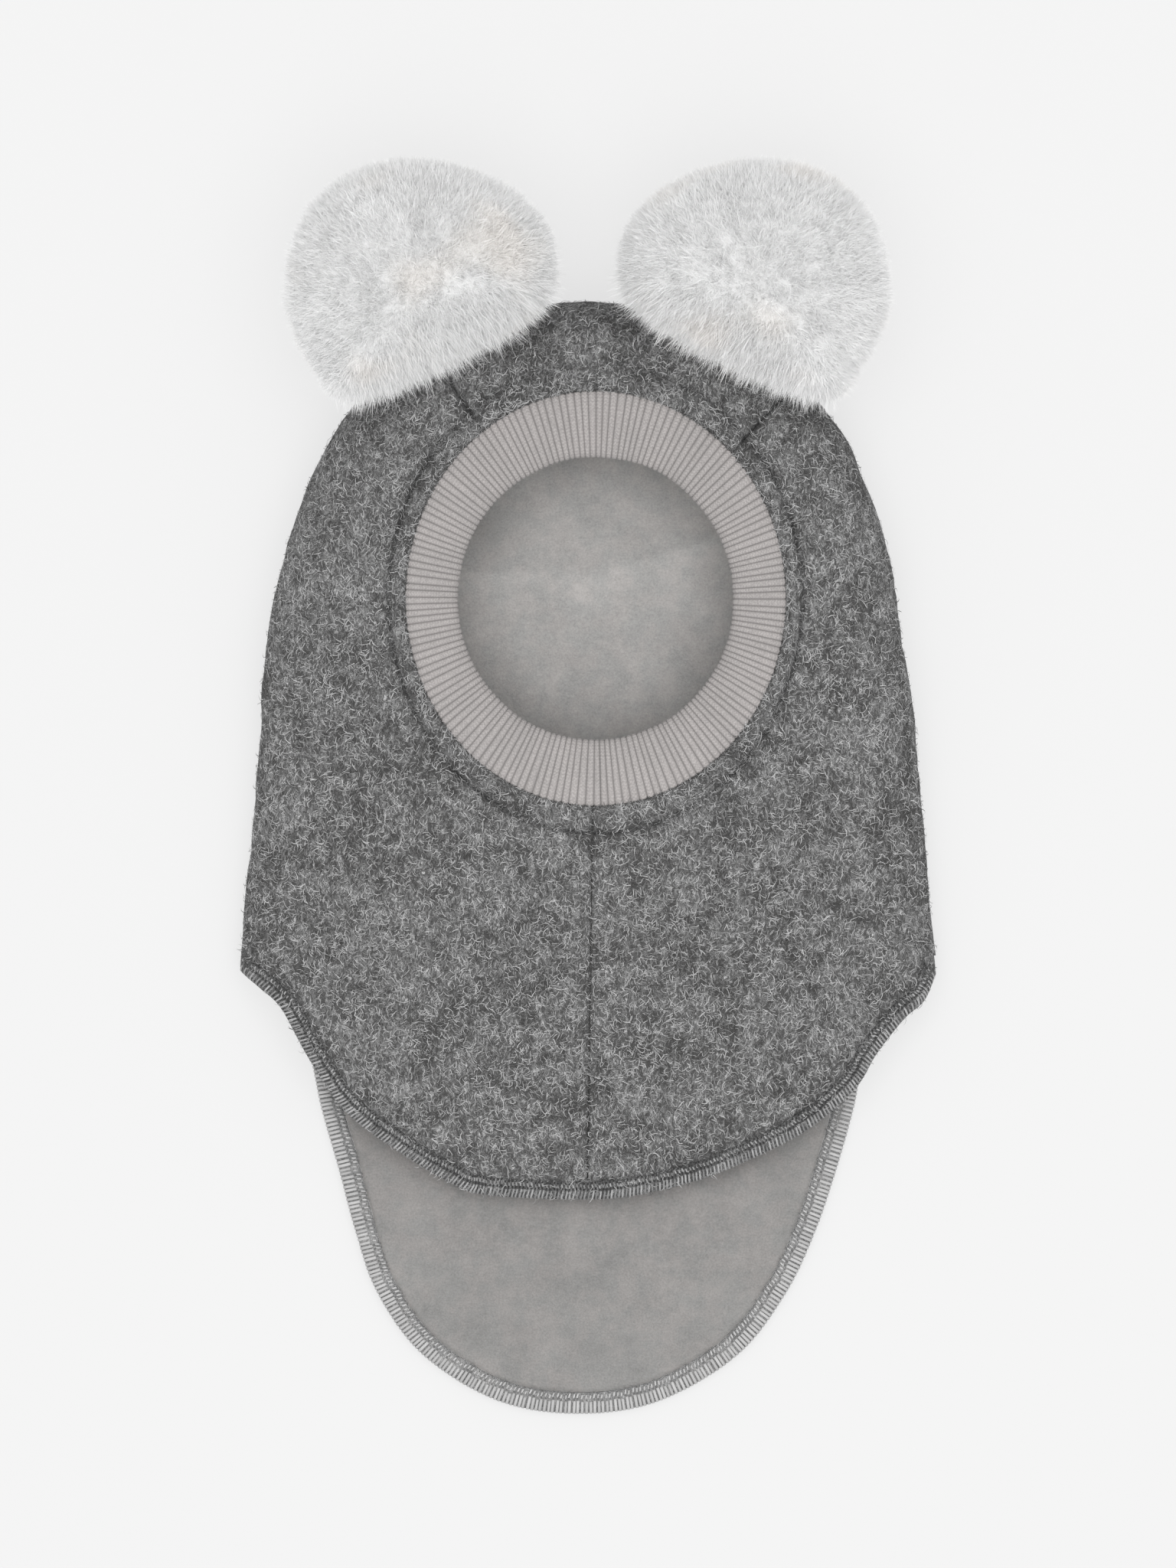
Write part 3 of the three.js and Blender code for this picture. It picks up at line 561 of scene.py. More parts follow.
heather, pile = makeHeather(), makePile()


def newMaterial(name, roughness, sheen=0.0, sheenRoughness=0.5, specular=0.2):
    material = bpy.data.materials.new(name)
    material.use_nodes = True
    tree = material.node_tree
    shader = tree.nodes["Principled BSDF"]
    shader.inputs["Roughness"].default_value = roughness
    shader.inputs["Sheen Weight"].default_value = sheen
    shader.inputs["Sheen Roughness"].default_value = sheenRoughness
    shader.inputs["Specular IOR Level"].default_value = specular
    return material, tree, shader


def useGroup(tree, group, **values):
    node = tree.nodes.new("ShaderNodeGroup")
    node.node_tree = group
    for key, value in values.items():
        socket = node.inputs[key.replace("_", " ")]
        if isinstance(value, bpy.types.NodeSocket):
            tree.links.new(value, socket)
        else:
            socket.default_value = value
    return node


def bump(tree, shader, height, distance, strength=1.0):
    node = add(tree, "ShaderNodeBump", Height=height, Distance=distance, Strength=strength)
    tree.links.new(node.outputs[0], shader.inputs["Normal"])


def objectPlace(tree):
    return tree.nodes.new("ShaderNodeTexCoord").outputs["Object"]


def attribute(tree, name, output="Fac"):
    return add(tree, "ShaderNodeAttribute", {"attribute_name": name}).outputs[output]


wool = {"dark": 0.062, "middle": 0.245, "light": 0.52, "cloudScale": 150.0, "fibreScale": 1600.0, "bump": 0.0006,
        "fibreDark": 0.06, "fibreLight": 0.52}
velour = {"base": (0.342, 0.334, 0.326, 1), "warm": (0.35, 0.333, 0.323, 1), "cool": (0.335, 0.333, 0.326, 1)}


def woolMaterial():
    material, tree, shader = newMaterial("boiledWool", 0.95, sheen=0.12, sheenRoughness=0.6, specular=0.08)
    fibres = useGroup(tree, heather, Vector=objectPlace(tree), Dark=grey(wool["dark"], 0.02),
                      Middle=grey(wool["middle"]), Light=grey(wool["light"]),
                      Cloud_Scale=wool["cloudScale"], Fibre_Scale=wool["fibreScale"])
    # painted shade: the wool's colour goes towards near-black in the bottom of the sewn ditches and seams
    shade = math2(tree, "MULTIPLY", attribute(tree, "crease"), 0.75)
    tree.links.new(mixColor(tree, shade, fibres.outputs["Color"], grey(0.035)), shader.inputs["Base Color"])
    bump(tree, shader, fibres.outputs["Height"], wool["bump"])
    return material


def fuzzMaterial():
    material, tree, shader = newMaterial("woolFibre", 0.9, sheen=0.1, specular=0.12)
    tone = attribute(tree, "tone")
    clouds = add(tree, "ShaderNodeTexNoise", Vector=objectPlace(tree), Scale=210.0, Detail=3.0).outputs["Fac"]
    mixed = math2(tree, "ADD", math2(tree, "MULTIPLY", tone, 0.75), math2(tree, "MULTIPLY", ramp(tree, clouds, 0.35, 0.65), 0.25))
    colour = mixColor(tree, ramp(tree, mixed, 0.1, 0.95), grey(wool["fibreDark"], 0.02), grey(wool["fibreLight"]))
    tree.links.new(colour, shader.inputs["Base Color"])
    return material


def velourMaterial():
    material, tree, shader = newMaterial("velour", 0.85, sheen=0.25, sheenRoughness=0.45, specular=0.1)
    nap = useGroup(tree, pile, Vector=objectPlace(tree), Base=velour["base"], Warm=velour["warm"], Cool=velour["cool"])
    # the nap attribute scales the velour's colour: painted light and shade on the lining
    lean = add(tree, "ShaderNodeVectorMath", {"operation": "SCALE"}, i0=nap.outputs["Color"])
    tree.links.new(attribute(tree, "nap"), lean.inputs["Scale"])
    tree.links.new(lean.outputs[0], shader.inputs["Base Color"])
    bump(tree, shader, nap.outputs["Height"], 0.00025, 0.6)
    return material


# ---- geometry node trees
def nodeTree(name, inputs):
    tree = bpy.data.node_groups.new(name, "GeometryNodeTree")
    tree.interface.new_socket("Geometry", in_out="INPUT", socket_type="NodeSocketGeometry")
    sockets = {label: tree.interface.new_socket(label, in_out="INPUT", socket_type=kind).identifier
               for label, kind in inputs}
    tree.interface.new_socket("Geometry", in_out="OUTPUT", socket_type="NodeSocketGeometry")
    return tree, sockets, tree.nodes.new("NodeGroupInput").outputs, tree.nodes.new("NodeGroupOutput").inputs


def randomValue(tree, low, high, seed, kind="FLOAT"):
    node = tree.nodes.new("FunctionNodeRandomValue")
    node.data_type = kind
    pairs = [s for s in node.inputs if s.name in ("Min", "Max") and s.enabled]
    for socket, value in zip(pairs, (low, high)):
        if isinstance(value, bpy.types.NodeSocket):
            tree.links.new(value, socket)
        else:
            socket.default_value = value
    seedSocket = [s for s in node.inputs if s.name == "Seed"][0]
    if isinstance(seed, bpy.types.NodeSocket):
        tree.links.new(seed, seedSocket)
    else:
        seedSocket.default_value = seed
    return [s for s in node.outputs if s.enabled][0]


def makeScatter():
    # strands grown from a surface, each turned at random about the way out
    number = "NodeSocketFloat"
    tree, sockets, given, out = nodeTree("strandScatter", [
        ("Strands", "NodeSocketCollection"), ("Density", number), ("Seed", "NodeSocketInt"),
        ("Lean", number), ("Smallest", number), ("Largest", number), ("Finish", "NodeSocketMaterial")])
    cover = add(tree, "GeometryNodeInputNamedAttribute", {"data_type": "FLOAT"}, Name="cover").outputs[0]
    density = math2(tree, "MULTIPLY", given["Density"], cover)
    spots = add(tree, "GeometryNodeDistributePointsOnFaces", {"distribute_method": "RANDOM"},
                Mesh=given["Geometry"], Seed=given["Seed"])
    tree.links.new(density, [s for s in spots.inputs if s.name == "Density" and s.enabled][0])
    lean = given["Lean"]
    back = math2(tree, "MULTIPLY", lean, -1.0)
    turns = add(tree, "ShaderNodeCombineXYZ")
    tree.links.new(randomValue(tree, back, lean, 11), turns.inputs[0])
    tree.links.new(randomValue(tree, back, lean, 12), turns.inputs[1])
    tree.links.new(randomValue(tree, 0.0, 2 * math.pi, 13), turns.inputs[2])
    spin = add(tree, "FunctionNodeEulerToRotation", Euler=turns.outputs[0])
    turned = add(tree, "FunctionNodeRotateRotation", {"rotation_space": "LOCAL"},
                 Rotation=spots.outputs["Rotation"], i1=spin.outputs[0])
    kinds = add(tree, "GeometryNodeCollectionInfo", Collection=given["Strands"], Separate_Children=True,
                Reset_Children=True)
    placed = add(tree, "GeometryNodeInstanceOnPoints", Points=spots.outputs["Points"],
                 Instance=kinds.outputs[0], Pick_Instance=True, Rotation=turned.outputs[0])
    tree.links.new(randomValue(tree, given["Smallest"], given["Largest"], 14), placed.inputs["Scale"])
    toned = add(tree, "GeometryNodeStoreNamedAttribute", {"data_type": "FLOAT", "domain": "INSTANCE"},
                Geometry=placed.outputs[0], Name="tone")
    tree.links.new(randomValue(tree, 0.0, 1.0, 15), [s for s in toned.inputs if s.name == "Value" and s.enabled][0])
    real = add(tree, "GeometryNodeRealizeInstances", Geometry=toned.outputs[0])
    done = add(tree, "GeometryNodeSetMaterial", Geometry=real.outputs[0], Material=given["Finish"])
    tree.links.new(done.outputs[0], out["Geometry"])
    return tree, sockets


def makeStitcher():
    # one stitch at each point, stood on its own up and along directions
    tree, sockets, given, out = nodeTree("stitchRow", [
        ("Stitch", "NodeSocketObject"), ("Size", "NodeSocketFloat"), ("Finish", "NodeSocketMaterial")])
    named = lambda name, kind: add(tree, "GeometryNodeInputNamedAttribute", {"data_type": kind}, Name=name).outputs[0]
    frameOf = add(tree, "FunctionNodeAxesToRotation", {"primary_axis": "Z", "secondary_axis": "X"},
                  i0=named("up", "FLOAT_VECTOR"), i1=named("along", "FLOAT_VECTOR"))
    stitch = add(tree, "GeometryNodeObjectInfo", Object=given["Stitch"])
    placed = add(tree, "GeometryNodeInstanceOnPoints", Points=given["Geometry"],
                 Instance=stitch.outputs["Geometry"], Rotation=frameOf.outputs[0])
    size = math2(tree, "MULTIPLY", randomValue(tree, 0.93, 1.07, 5), given["Size"])
    tree.links.new(size, placed.inputs["Scale"])
    toned = add(tree, "GeometryNodeStoreNamedAttribute", {"data_type": "FLOAT", "domain": "INSTANCE"},
                Geometry=placed.outputs[0], Name="tone")
    tree.links.new(randomValue(tree, 0.0, 1.0, 6), [s for s in toned.inputs if s.name == "Value" and s.enabled][0])
    real = add(tree, "GeometryNodeRealizeInstances", Geometry=toned.outputs[0])
    done = add(tree, "GeometryNodeSetMaterial", Geometry=real.outputs[0], Material=given["Finish"])
    tree.links.new(done.outputs[0], out["Geometry"])
    return tree, sockets


def runTree(name, source, built, material, **values):
    tree, sockets = built
    modifier = source.modifiers.new("build", "NODES")
    modifier.node_group = tree
    for key, value in values.items():
        modifier[sockets[key]] = value
    modifier[sockets["Finish"]] = material
    bpy.context.view_layer.update()
    evaluated = source.evaluated_get(bpy.context.evaluated_depsgraph_get())
    mesh = bpy.data.meshes.new_from_object(evaluated)
    mesh.name = name
    source.modifiers.remove(modifier)
    mesh.materials.clear()
    mesh.materials.append(material)
    mesh.polygons.foreach_set("material_index", np.zeros(len(mesh.polygons), np.int32))
    mesh.polygons.foreach_set("use_smooth", np.ones(len(mesh.polygons), bool))
    piece = bpy.data.objects.new(name, mesh)
    bpy.context.scene.collection.objects.link(piece)
    return piece


def drop(*things):
    for thing in things:
        mesh = thing.data
        bpy.data.objects.remove(thing)
        if mesh.users == 0:
            bpy.data.meshes.remove(mesh)


def strandSet(name, shapes):
    # a collection of small meshes that the scatter picks from
    collection = bpy.data.collections.new(name)
    for i, (points, faces) in enumerate(shapes):
        mesh = bpy.data.meshes.new(f"{name}{i}")
        mesh.from_pydata((np.asarray(points) * mm).tolist(), [], faces)
        collection.objects.link(bpy.data.objects.new(f"{name}{i}", mesh))
    return collection


def dropSet(collection):
    for thing in list(collection.objects):
        drop(thing)
    bpy.data.collections.remove(collection)


def finish(piece, slot, *nodes):
    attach(piece, "root")
    if nodes:
        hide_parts(*nodes)
    count = sum(len(p.vertices) - 2 for p in piece.data.polygons)
    print(f"{piece.name}: {count} triangles")
    return piece


scatter, stitcher = makeScatter(), makeStitcher()
print("groups ready")

# ---- wool panels
woolLook = woolMaterial()
grid = makeGrid((66, 46, 62), 34, 14)
places = grid["places"]


def seamDistance(points, angle):
    dx, dy = points[:, 0] - face["x"], points[:, 1] - face["y"]
    c, s = math.cos(angle * degree), math.sin(angle * degree)
    return np.where(dx * c + dy * s > 0, np.abs(dy * c - dx * s), 999)


folding = {"rollHeight": 1.2, "edgeDip": 0.15, "grooveDepth": 1.5, "grooveWidth": 0.8, "seamDepth": 1.3,
           "seamWidth": 1.3, "bigLump": 0.7, "middleLump": 0.45, "smallLump": 0.22}


def woolDents(grid):
    places, fromBand, fromEdge = grid["places"], grid["fromBand"], grid["fromEdge"]
    grooveAt = onEllipse(groove, grid["angle"]) - onEllipse(band, grid["angle"])
    onFront = grid["side"] < 0.5
    crest = np.sin(np.clip(fromBand / grooveAt, 0, 1) * math.pi)
    wander = np.array([lump(p, 9, 3) for p in places])
    dent = folding["rollHeight"] * crest * (1 + 0.5 * wander) * onFront
    dent -= folding["edgeDip"] * np.exp(-(fromBand / 1.1) ** 2) * onFront
    overTop = np.clip((places[:, 1] - 118) / 14, 0, 1)
    pull = folding["grooveDepth"] * (1 + 0.45 * wander) * (1 - 0.6 * overTop)
    dent -= pull * np.exp(-((fromBand - grooveAt) / folding["grooveWidth"]) ** 2) * onFront
    dent -= 0.5 * np.exp(-((fromBand - grooveAt) / 3.2) ** 2) * onFront
    for angle in seams.values():
        away = seamDistance(places, angle)
        deep = folding["seamDepth"] * (1 - np.exp(-((fromBand - 1) / 3) ** 2)) * onFront
        dent -= deep * np.exp(-(away / folding["seamWidth"]) ** 2) * np.clip((fromEdge - 5) / 4, 0, 1)
    calm = np.clip(places[:, 2] / 6, 0, 1) * np.clip((fromEdge - 3) / 8 + (places[:, 2] < 30) * 0.0, 0, 1)
    foldCalm = np.where(isOpen(grid["angle"]), calm, np.clip(places[:, 2] / 6, 0, 1))
    lumps = sum(folding[key] * np.array([lump(p, size, seed) for p in places])
                for key, size, seed in (("bigLump", 24, 1), ("middleLump", 8, 2), ("smallLump", 3.4, 4)))
    return dent + lumps * foldCalm * np.clip(fromBand / 4, 0, 1)


def ditchShade(grid):
    # 1 in the bottom of a sewn ditch or seam, fading out beside it: the mask of painted shade that darkens the wool's
    # colour there
    grooveAt = onEllipse(groove, grid["angle"]) - onEllipse(band, grid["angle"])
    overTop = np.clip((grid["places"][:, 1] - 118) / 14, 0, 1)
    uneven = np.array([lump(p, 11, 6) for p in grid["places"]])
    deep = np.exp(-((grid["fromBand"] - grooveAt) / 0.6) ** 2) * (1 - 0.6 * overTop) * np.clip(0.5 + uneven, 0.1, 1)
    for angle in seams.values():
        away = seamDistance(grid["places"], angle)
        thin, dark = (0.45, 0.6) if angle == seams["front"] else (0.8, 1.0)
        line = dark * np.exp(-(away / thin) ** 2) * (grid["fromBand"] > 3) * (grid["fromEdge"] > 5)
        deep = np.maximum(deep, line)
    return deep * (grid["side"] < 0.5)


dents = woolDents(grid)
# painted shade in the sewn ditches and seams, kept on the wool as its crease attribute
paintedDitchShade = ditchShade(grid)
fringe = np.exp(-(grid["fromBand"] / 1.3) ** 2)  # more loose fibres where the wool meets the band
zero = np.zeros(len(places))
cover = np.ones(len(places))
woolPieces = []
for name, node, chosen in (("woolFrontLeft", "front_panel_left", isFront("left")),
                           ("woolFrontRight", "front_panel_right", isFront("right")),
                           ("woolCrownBack", "crown_back_panel", isCrownBack)):
    piece = cutWall(name, grid, chosen, -dents, cloth["wool"] - dents * 0.6, woolLook,
                    [("crease", paintedDitchShade), ("fringe", fringe)])
    woolPieces.append(finish(piece, "boiled_wool", node))
print("wool panels made")

# ---- lining
# painted light and shade on the lining: the lining seen through the opening is a lighter copy of the flap's, 1.04
# against 0.72, to make up for the shade under the rim
nap = {"flap": 0.72, "inside": 1.04, "creaseAt": 74.3, "creaseBend": 0.0043, "creaseFrom": -10.0,
       "above": 0.0, "below": 0.12, "fade": 15.0}
liningGrid = makeGrid((32, 20, 30), 18, 24)
linePlaces = liningGrid["places"]
under = (liningGrid["side"] > 0.5) * np.clip((liningGrid["fromEdge"] - 14) / 20, 0, 1)
waves = np.array([noise.noise(Vector((p[0] / 70, p[1] / 22, 4.0))) for p in linePlaces])
waves += 0.5 * np.array([noise.noise(Vector((p[0] / 26, p[1] / 14, 9.0))) for p in linePlaces])
rise = under * np.clip(0.9 + 1.3 * waves, 0, 3) * (linePlaces[:, 1] > -95)
rise += under * (linePlaces[:, 1] <= -95) * np.clip(0.3 + 0.4 * waves, 0, 1)
lineDents = woolDents(liningGrid) * 0.6
start = cloth["wool"] + cloth["seamGap"]
x, y = linePlaces[:, 0], linePlaces[:, 1]
crease = nap["creaseAt"] + nap["creaseBend"] * np.maximum(0, x - nap["creaseFrom"]) ** 2 + 1.4 * waves
down = crease - y  # a soft fold across the back of the bag: painted fold shading, darker above it and lighter below
paintedFoldShading = np.where(down > 0, nap["below"] * np.exp(-(np.abs(down) / nap["fade"]) ** 2), nap["above"])
paintedFoldShading *= 1 - np.exp(-(down / 1.3) ** 2)
# painted shade: a little darker across the lower part of the opening, and a dark patch at its upper left under the rim
paintedFoldShading -= 0.02 * np.exp(-((y - 38) / 16) ** 2)
paintedFoldShading -= 0.16 * np.exp(-((x + 36) / 11) ** 2 - ((y - 87) / 10) ** 2)
inFlap = np.clip((-95 - y) / 20, 0, 1)
# the 0.03 * waves term is painted shading that follows the lining's waves
paintedLiningLight = nap["inside"] + (1 - inFlap) * paintedFoldShading + inFlap * (nap["flap"] - nap["inside"]) + 0.03 * waves
rise += 0.9 * np.exp(-((down - 3.5) / 3.5) ** 2) * under * (y > -60)
lining = cutWall("liningBag", liningGrid, isLining, start - lineDents + rise,
                 start + cloth["lining"] - lineDents + rise, velourMaterial(), [("nap", paintedLiningLight)])
finish(lining, "lining_velour", "lining")
print("lining made")

# ---- ribbed band
rib = {"count": 164, "depth": 0.5, "seamAt": 271.5, "lean": 0.0}
bandSection = [(0.0, -0.1), (0.04, 0.3), (0.12, 0.6), (0.28, 0.75), (0.45, 0.65), (0.62, 0.4), (0.76, 0.05),
               (0.86, -0.4), (0.93, -0.95), (0.975, -1.7), (1.0, -2.7), (0.975, -3.6), (0.9, -4.4),
               (0.6, -4.8), (0.3, -4.8), (0.0, -4.6)]


def ribMaterial():
    material, tree, shader = newMaterial("ribKnit", 0.8, sheen=0.2, sheenRoughness=0.5, specular=0.12)
    place, ribShadeMask = objectPlace(tree), attribute(tree, "ribHeight")
    grain = add(tree, "ShaderNodeTexNoise", Vector=place, Scale=1700.0, Detail=2.0, Roughness=0.7).outputs["Fac"]
    tint = add(tree, "ShaderNodeTexNoise", Vector=place, Scale=60.0, Detail=2.0).outputs["Fac"]
    wale = math2(tree, "FRACT", math2(tree, "MULTIPLY", attribute(tree, "ribTurn"), 2.0))
    slant = math2(tree, "ABSOLUTE", math2(tree, "SUBTRACT", wale, 0.5))
    course = math2(tree, "ADD", math2(tree, "DIVIDE", attribute(tree, "ribLength"), 0.95), slant)
    loop = math2(tree, "ABSOLUTE", math2(tree, "SUBTRACT", math2(tree, "FRACT", course), 0.5))
    stitch = ramp(tree, loop, 0.05, 0.4)
    colour = mixColor(tree, ramp(tree, tint, 0.35, 0.65), (0.408, 0.386, 0.378, 1), (0.43, 0.405, 0.397, 1))
    # painted shade: the knit is darker in the grooves between ribs, down to half its colour, and a little darker at
    # the edges of each loop; the grain's dark flecks are its own
    dark = mixColor(tree, 1.0, colour, grey(0.5), "MULTIPLY")
    colour = mixColor(tree, ramp(tree, ribShadeMask, 0.0, 0.9), dark, colour)
    colour = mixColor(tree, math2(tree, "MULTIPLY", math2(tree, "SUBTRACT", 1.0, stitch), 0.22), colour, dark)
    colour = mixColor(tree, math2(tree, "MULTIPLY", ramp(tree, grain, 0.6, 0.36), 0.42), colour, dark)
    tree.links.new(colour, shader.inputs["Base Color"])
    height = math2(tree, "ADD", math2(tree, "MULTIPLY", stitch, 0.7), math2(tree, "MULTIPLY", grain, 0.6))
    bump(tree, shader, height, 0.0002, 0.8)
    return material


def makeRibBand():
    random = np.random.default_rng(5)
    phases = np.array([0, 0.12, 0.3, 0.5, 0.7, 0.88])
    width = 1 + 0.1 * random.standard_normal(rib["count"])
    starts = np.concatenate([[0], np.cumsum(width)]) / width.sum() * rib["count"]
    turns = np.concatenate([starts[i] + phases * (starts[i + 1] - starts[i]) for i in range(rib["count"])])
    ridge = np.tile(np.array([0, 0.6, 0.92, 1.0, 0.92, 0.6]), rib["count"])
    ridge *= np.repeat(0.9 + 0.1 * random.standard_normal(rib["count"]).clip(-1, 1), len(phases))
    angles = turns / rib["count"] * 360 + rib["seamAt"] - 360
    angles = np.where(angles > 270, angles - 360, angles)
    outerR, innerR = onEllipse(band, angles), onEllipse(hole, angles)
    edge = heights(angles, outerR, "front")
    along, up = np.array(bandSection).T
    sag = np.array([lump((math.cos(a * degree) * 3, math.sin(a * degree) * 3, 0), 1, 8) for a in angles])
    section = np.column_stack([along, up])
    slope = np.gradient(section * [18, 1], axis=0)
    out2 = np.column_stack([-slope[:, 1], slope[:, 0]])
    out2 /= np.linalg.norm(out2, axis=1, keepdims=True)
    # r falls as along grows, so the way out turns round with it
    points, ribHeight, ribLength = [], [], []
    walk = np.concatenate([[0], np.cumsum(np.hypot(*np.diff(section * [18, 1], axis=0).T))])
    for i, angle in enumerate(angles):
        push = rib["depth"] * (ridge[i] - 1)
        r = outerR[i] + (innerR[i] + 0.35 * sag[i] - outerR[i]) * along - out2[:, 0] * push
        z = edge[i] + up + out2[:, 1] * push + 0.25 * sag[i] * np.sin(along * math.pi)
        c, s = math.cos(angle * degree), math.sin(angle * degree)
        points.append(np.column_stack([face["x"] + r * c, face["y"] + r * s, z]))
        ribHeight.append(np.full(len(along), ridge[i]))
        ribLength.append(walk)
    n, count = len(angles), len(along)
    faces = []
    for i in range(n):
        j = (i + 1) % n
        for k in range(count):
            m = (k + 1) % count
            faces.append((i * count + k, j * count + k, j * count + m, i * count + m))
    faces = [tuple(reversed(f)) for f in faces]
    piece = makePiece("ribBand", np.concatenate(points), faces, ribMaterial())
    for key, values in (("ribHeight", np.concatenate(ribHeight)), ("ribLength", np.concatenate(ribLength)),
                        ("ribTurn", np.repeat(np.minimum(turns, rib["count"] - 0.02), count))):
        piece.data.attributes.new(key, "FLOAT", "POINT").data.foreach_set("value", values.astype(np.float32))
    return finish(piece, "rib_knit", "rib_band")


ribPiece = makeRibBand()
print("rib band made")

# ---- hem: pressed edge and its overlock thread
hem = {"bibPitch": 1.3, "flapPitch": 1.45, "thread": 0.4, "bibFlat": 0.85, "flapFlat": 1.3}


def hemMaterial():
    material, tree, shader = newMaterial("pressedHem", 0.95, sheen=0.1, specular=0.08)
    fibres = useGroup(tree, heather, Vector=objectPlace(tree), Dark=grey(0.07), Middle=grey(0.2), Light=grey(0.42))
    inner = useGroup(tree, pile, Vector=objectPlace(tree), Base=grey(0.4), Warm=grey(0.4, 0.015), Cool=grey(0.39))
    colour = mixColor(tree, attribute(tree, "inside"), fibres.outputs["Color"], inner.outputs["Color"])
    tree.links.new(colour, shader.inputs["Base Color"])
    bump(tree, shader, fibres.outputs["Height"], 0.0004)
    return material


def threadMaterial(name, dark, light):
    material, tree, shader = newMaterial(name, 0.7, sheen=0.15, specular=0.2)
    grain = add(tree, "ShaderNodeTexNoise", Vector=objectPlace(tree), Scale=2600.0, Detail=2.0).outputs["Fac"]
    mixed = math2(tree, "ADD", math2(tree, "MULTIPLY", attribute(tree, "tone"), 0.4), math2(tree, "MULTIPLY", grain, 0.6))
    tree.links.new(mixColor(tree, ramp(tree, mixed, 0.1, 0.9), dark, light), shader.inputs["Base Color"])
    bump(tree, shader, grain, 0.00015, 0.7)
    return material


edgeRound = np.exp(-(grid["fromEdge"] / 0.9) ** 2)
hemOut = 0.05 + 0.7 * edgeRound
hemIn = cloth["hemThickness"] - 0.1 - 1.0 * edgeRound
hemPiece = cutWall("hemBody", grid, isHem, hemOut, hemIn, hemMaterial())
finish(hemPiece, "hem_thread", "hem_overlock")


def tubeAlong(path, width, height, sides=4):
    # a flattened thread along a path in the stitch's own frame: x inwards, y along, z out
    path = np.asarray(path, float)
    ways = np.gradient(path, axis=0)
    ways /= np.linalg.norm(ways, axis=1, keepdims=True)
    points, faces = [], []
    for p, way in zip(path, ways):
        aside = np.array([0, 1.0, 0])
        aside = aside - way * aside.dot(way)
        aside /= np.linalg.norm(aside)
        up = np.cross(way, aside)
        for k in range(sides):
            t = 2 * math.pi * (k + 0.5) / sides
            points.append(p + aside * math.cos(t) * width / 2 + up * math.sin(t) * height / 2)
    rings = len(path)
    for i in range(rings - 1):
        for k in range(sides):
            m = (k + 1) % sides
            faces.append((i * sides + k, i * sides + m, (i + 1) * sides + m, (i + 1) * sides + k))
    faces.append(tuple(range(sides))[::-1])
    faces.append(tuple((rings - 1) * sides + k for k in range(sides)))
    return points, faces


def hemFrames(line, side, pitch, inward):
    total = line["along"][-1]
    count = int(round(total / pitch))
    random = np.random.default_rng(3 if side == "front" else 4)
    at = (np.arange(count) + 0.5) * total / count + random.uniform(-0.1, 0.1, count) * pitch
    angles = np.interp(at, line["along"], line["angle"])
    crossing = np.interp(at, line["along"], line["crossing"])
    full = cutsAt(angles, side)[2][:, -1]
    lengthAt = lambda d: (full - d / crossing if side == "front" else d / crossing)[:, None]
    edge = clothPoints(angles, side, lengthAt(0.0))[:, 0]
    middle = clothPoints(angles, side, lengthAt(inward))[:, 0]
    tangent = np.gradient(edge, axis=0)
    tangent /= np.linalg.norm(tangent, axis=1, keepdims=True)
    ray = middle - edge
    up = np.cross(tangent, ray) if side == "front" else np.cross(ray, tangent)
    up /= np.linalg.norm(up, axis=1, keepdims=True)
    if side == "front" and up[count // 2, 2] < 0 or side == "back" and up[count // 2, 2] > 0:
        up = -up
    inwards = np.cross(tangent, up)
    inwards *= np.sign((inwards * ray).sum(1, keepdims=True))
    return edge, up, inwards


def sewRow(name, frames, path, material, slot, width, height):
    edge, up, inwards = frames
    mesh = bpy.data.meshes.new("row")
    mesh.from_pydata((edge * mm).tolist(), [], [])
    for key, values in (("up", up), ("along", inwards)):
        data = mesh.attributes.new(key, "FLOAT_VECTOR", "POINT")
        data.data.foreach_set("vector", values.astype(np.float32).ravel())
    row = bpy.data.objects.new("row", mesh)
    bpy.context.scene.collection.objects.link(row)
    points, faces = tubeAlong(path, width, height)
    stitchMesh = bpy.data.meshes.new("stitch")
    stitchMesh.from_pydata((np.array(points) * mm).tolist(), [], faces)
    stitch = bpy.data.objects.new("stitch", stitchMesh)
    bpy.context.scene.collection.objects.link(stitch)
    piece = runTree(name, row, stitcher, material, Stitch=stitch, Size=1.0)
    drop(row, stitch)
    return finish(piece, slot)


depth = cloth["hemThickness"]
bibThread = threadMaterial("bibThread", grey(0.13), grey(0.42))
flapThread = threadMaterial("flapThread", grey(0.38, 0.005), grey(0.52, 0.005))
# painted shade: the needle rows are dark marks that stand for the shade inside the needle holes
flapHoleShadeLook = threadMaterial("flapNeedleHole", grey(0.13), grey(0.2))
holeShadeLook = threadMaterial("needleHole", grey(0.015), grey(0.04))
# x is inwards from the edge, y along it, z out of the wool
wrapBib = [(3.1, -0.6, -0.35), (2.6, -0.5, 0.1), (1.8, -0.35, 0.18), (0.9, -0.1, 0.0), (0.1, 0, -0.8),
           (-0.15, 0, -depth / 2), (0.1, 0, 0.8 - depth), (1.2, 0.1, -depth), (2.8, 0.3, -depth - 0.1),
           (4.1, 0.5, 0.3 - depth)]
wrapFlap = [(3.3, -0.4, -0.1), (2.0, -0.2, 0.0), (1.0, -0.1, -0.1), (0.1, 0, -0.8), (-0.15, 0, -depth / 2),
            (0.1, 0, 0.8 - depth), (1.2, 0.05, -depth - 0.08), (2.8, 0.1, -depth - 0.16),
            (3.7, 0.12, -depth - 0.1), (4.1, 0.14, 0.35 - depth)]
shortOut = [(3.9, -0.25, -0.35), (4.15, -0.2, 0.12), (4.9, -0.05, 0.16), (5.3, 0.05, -0.35)]
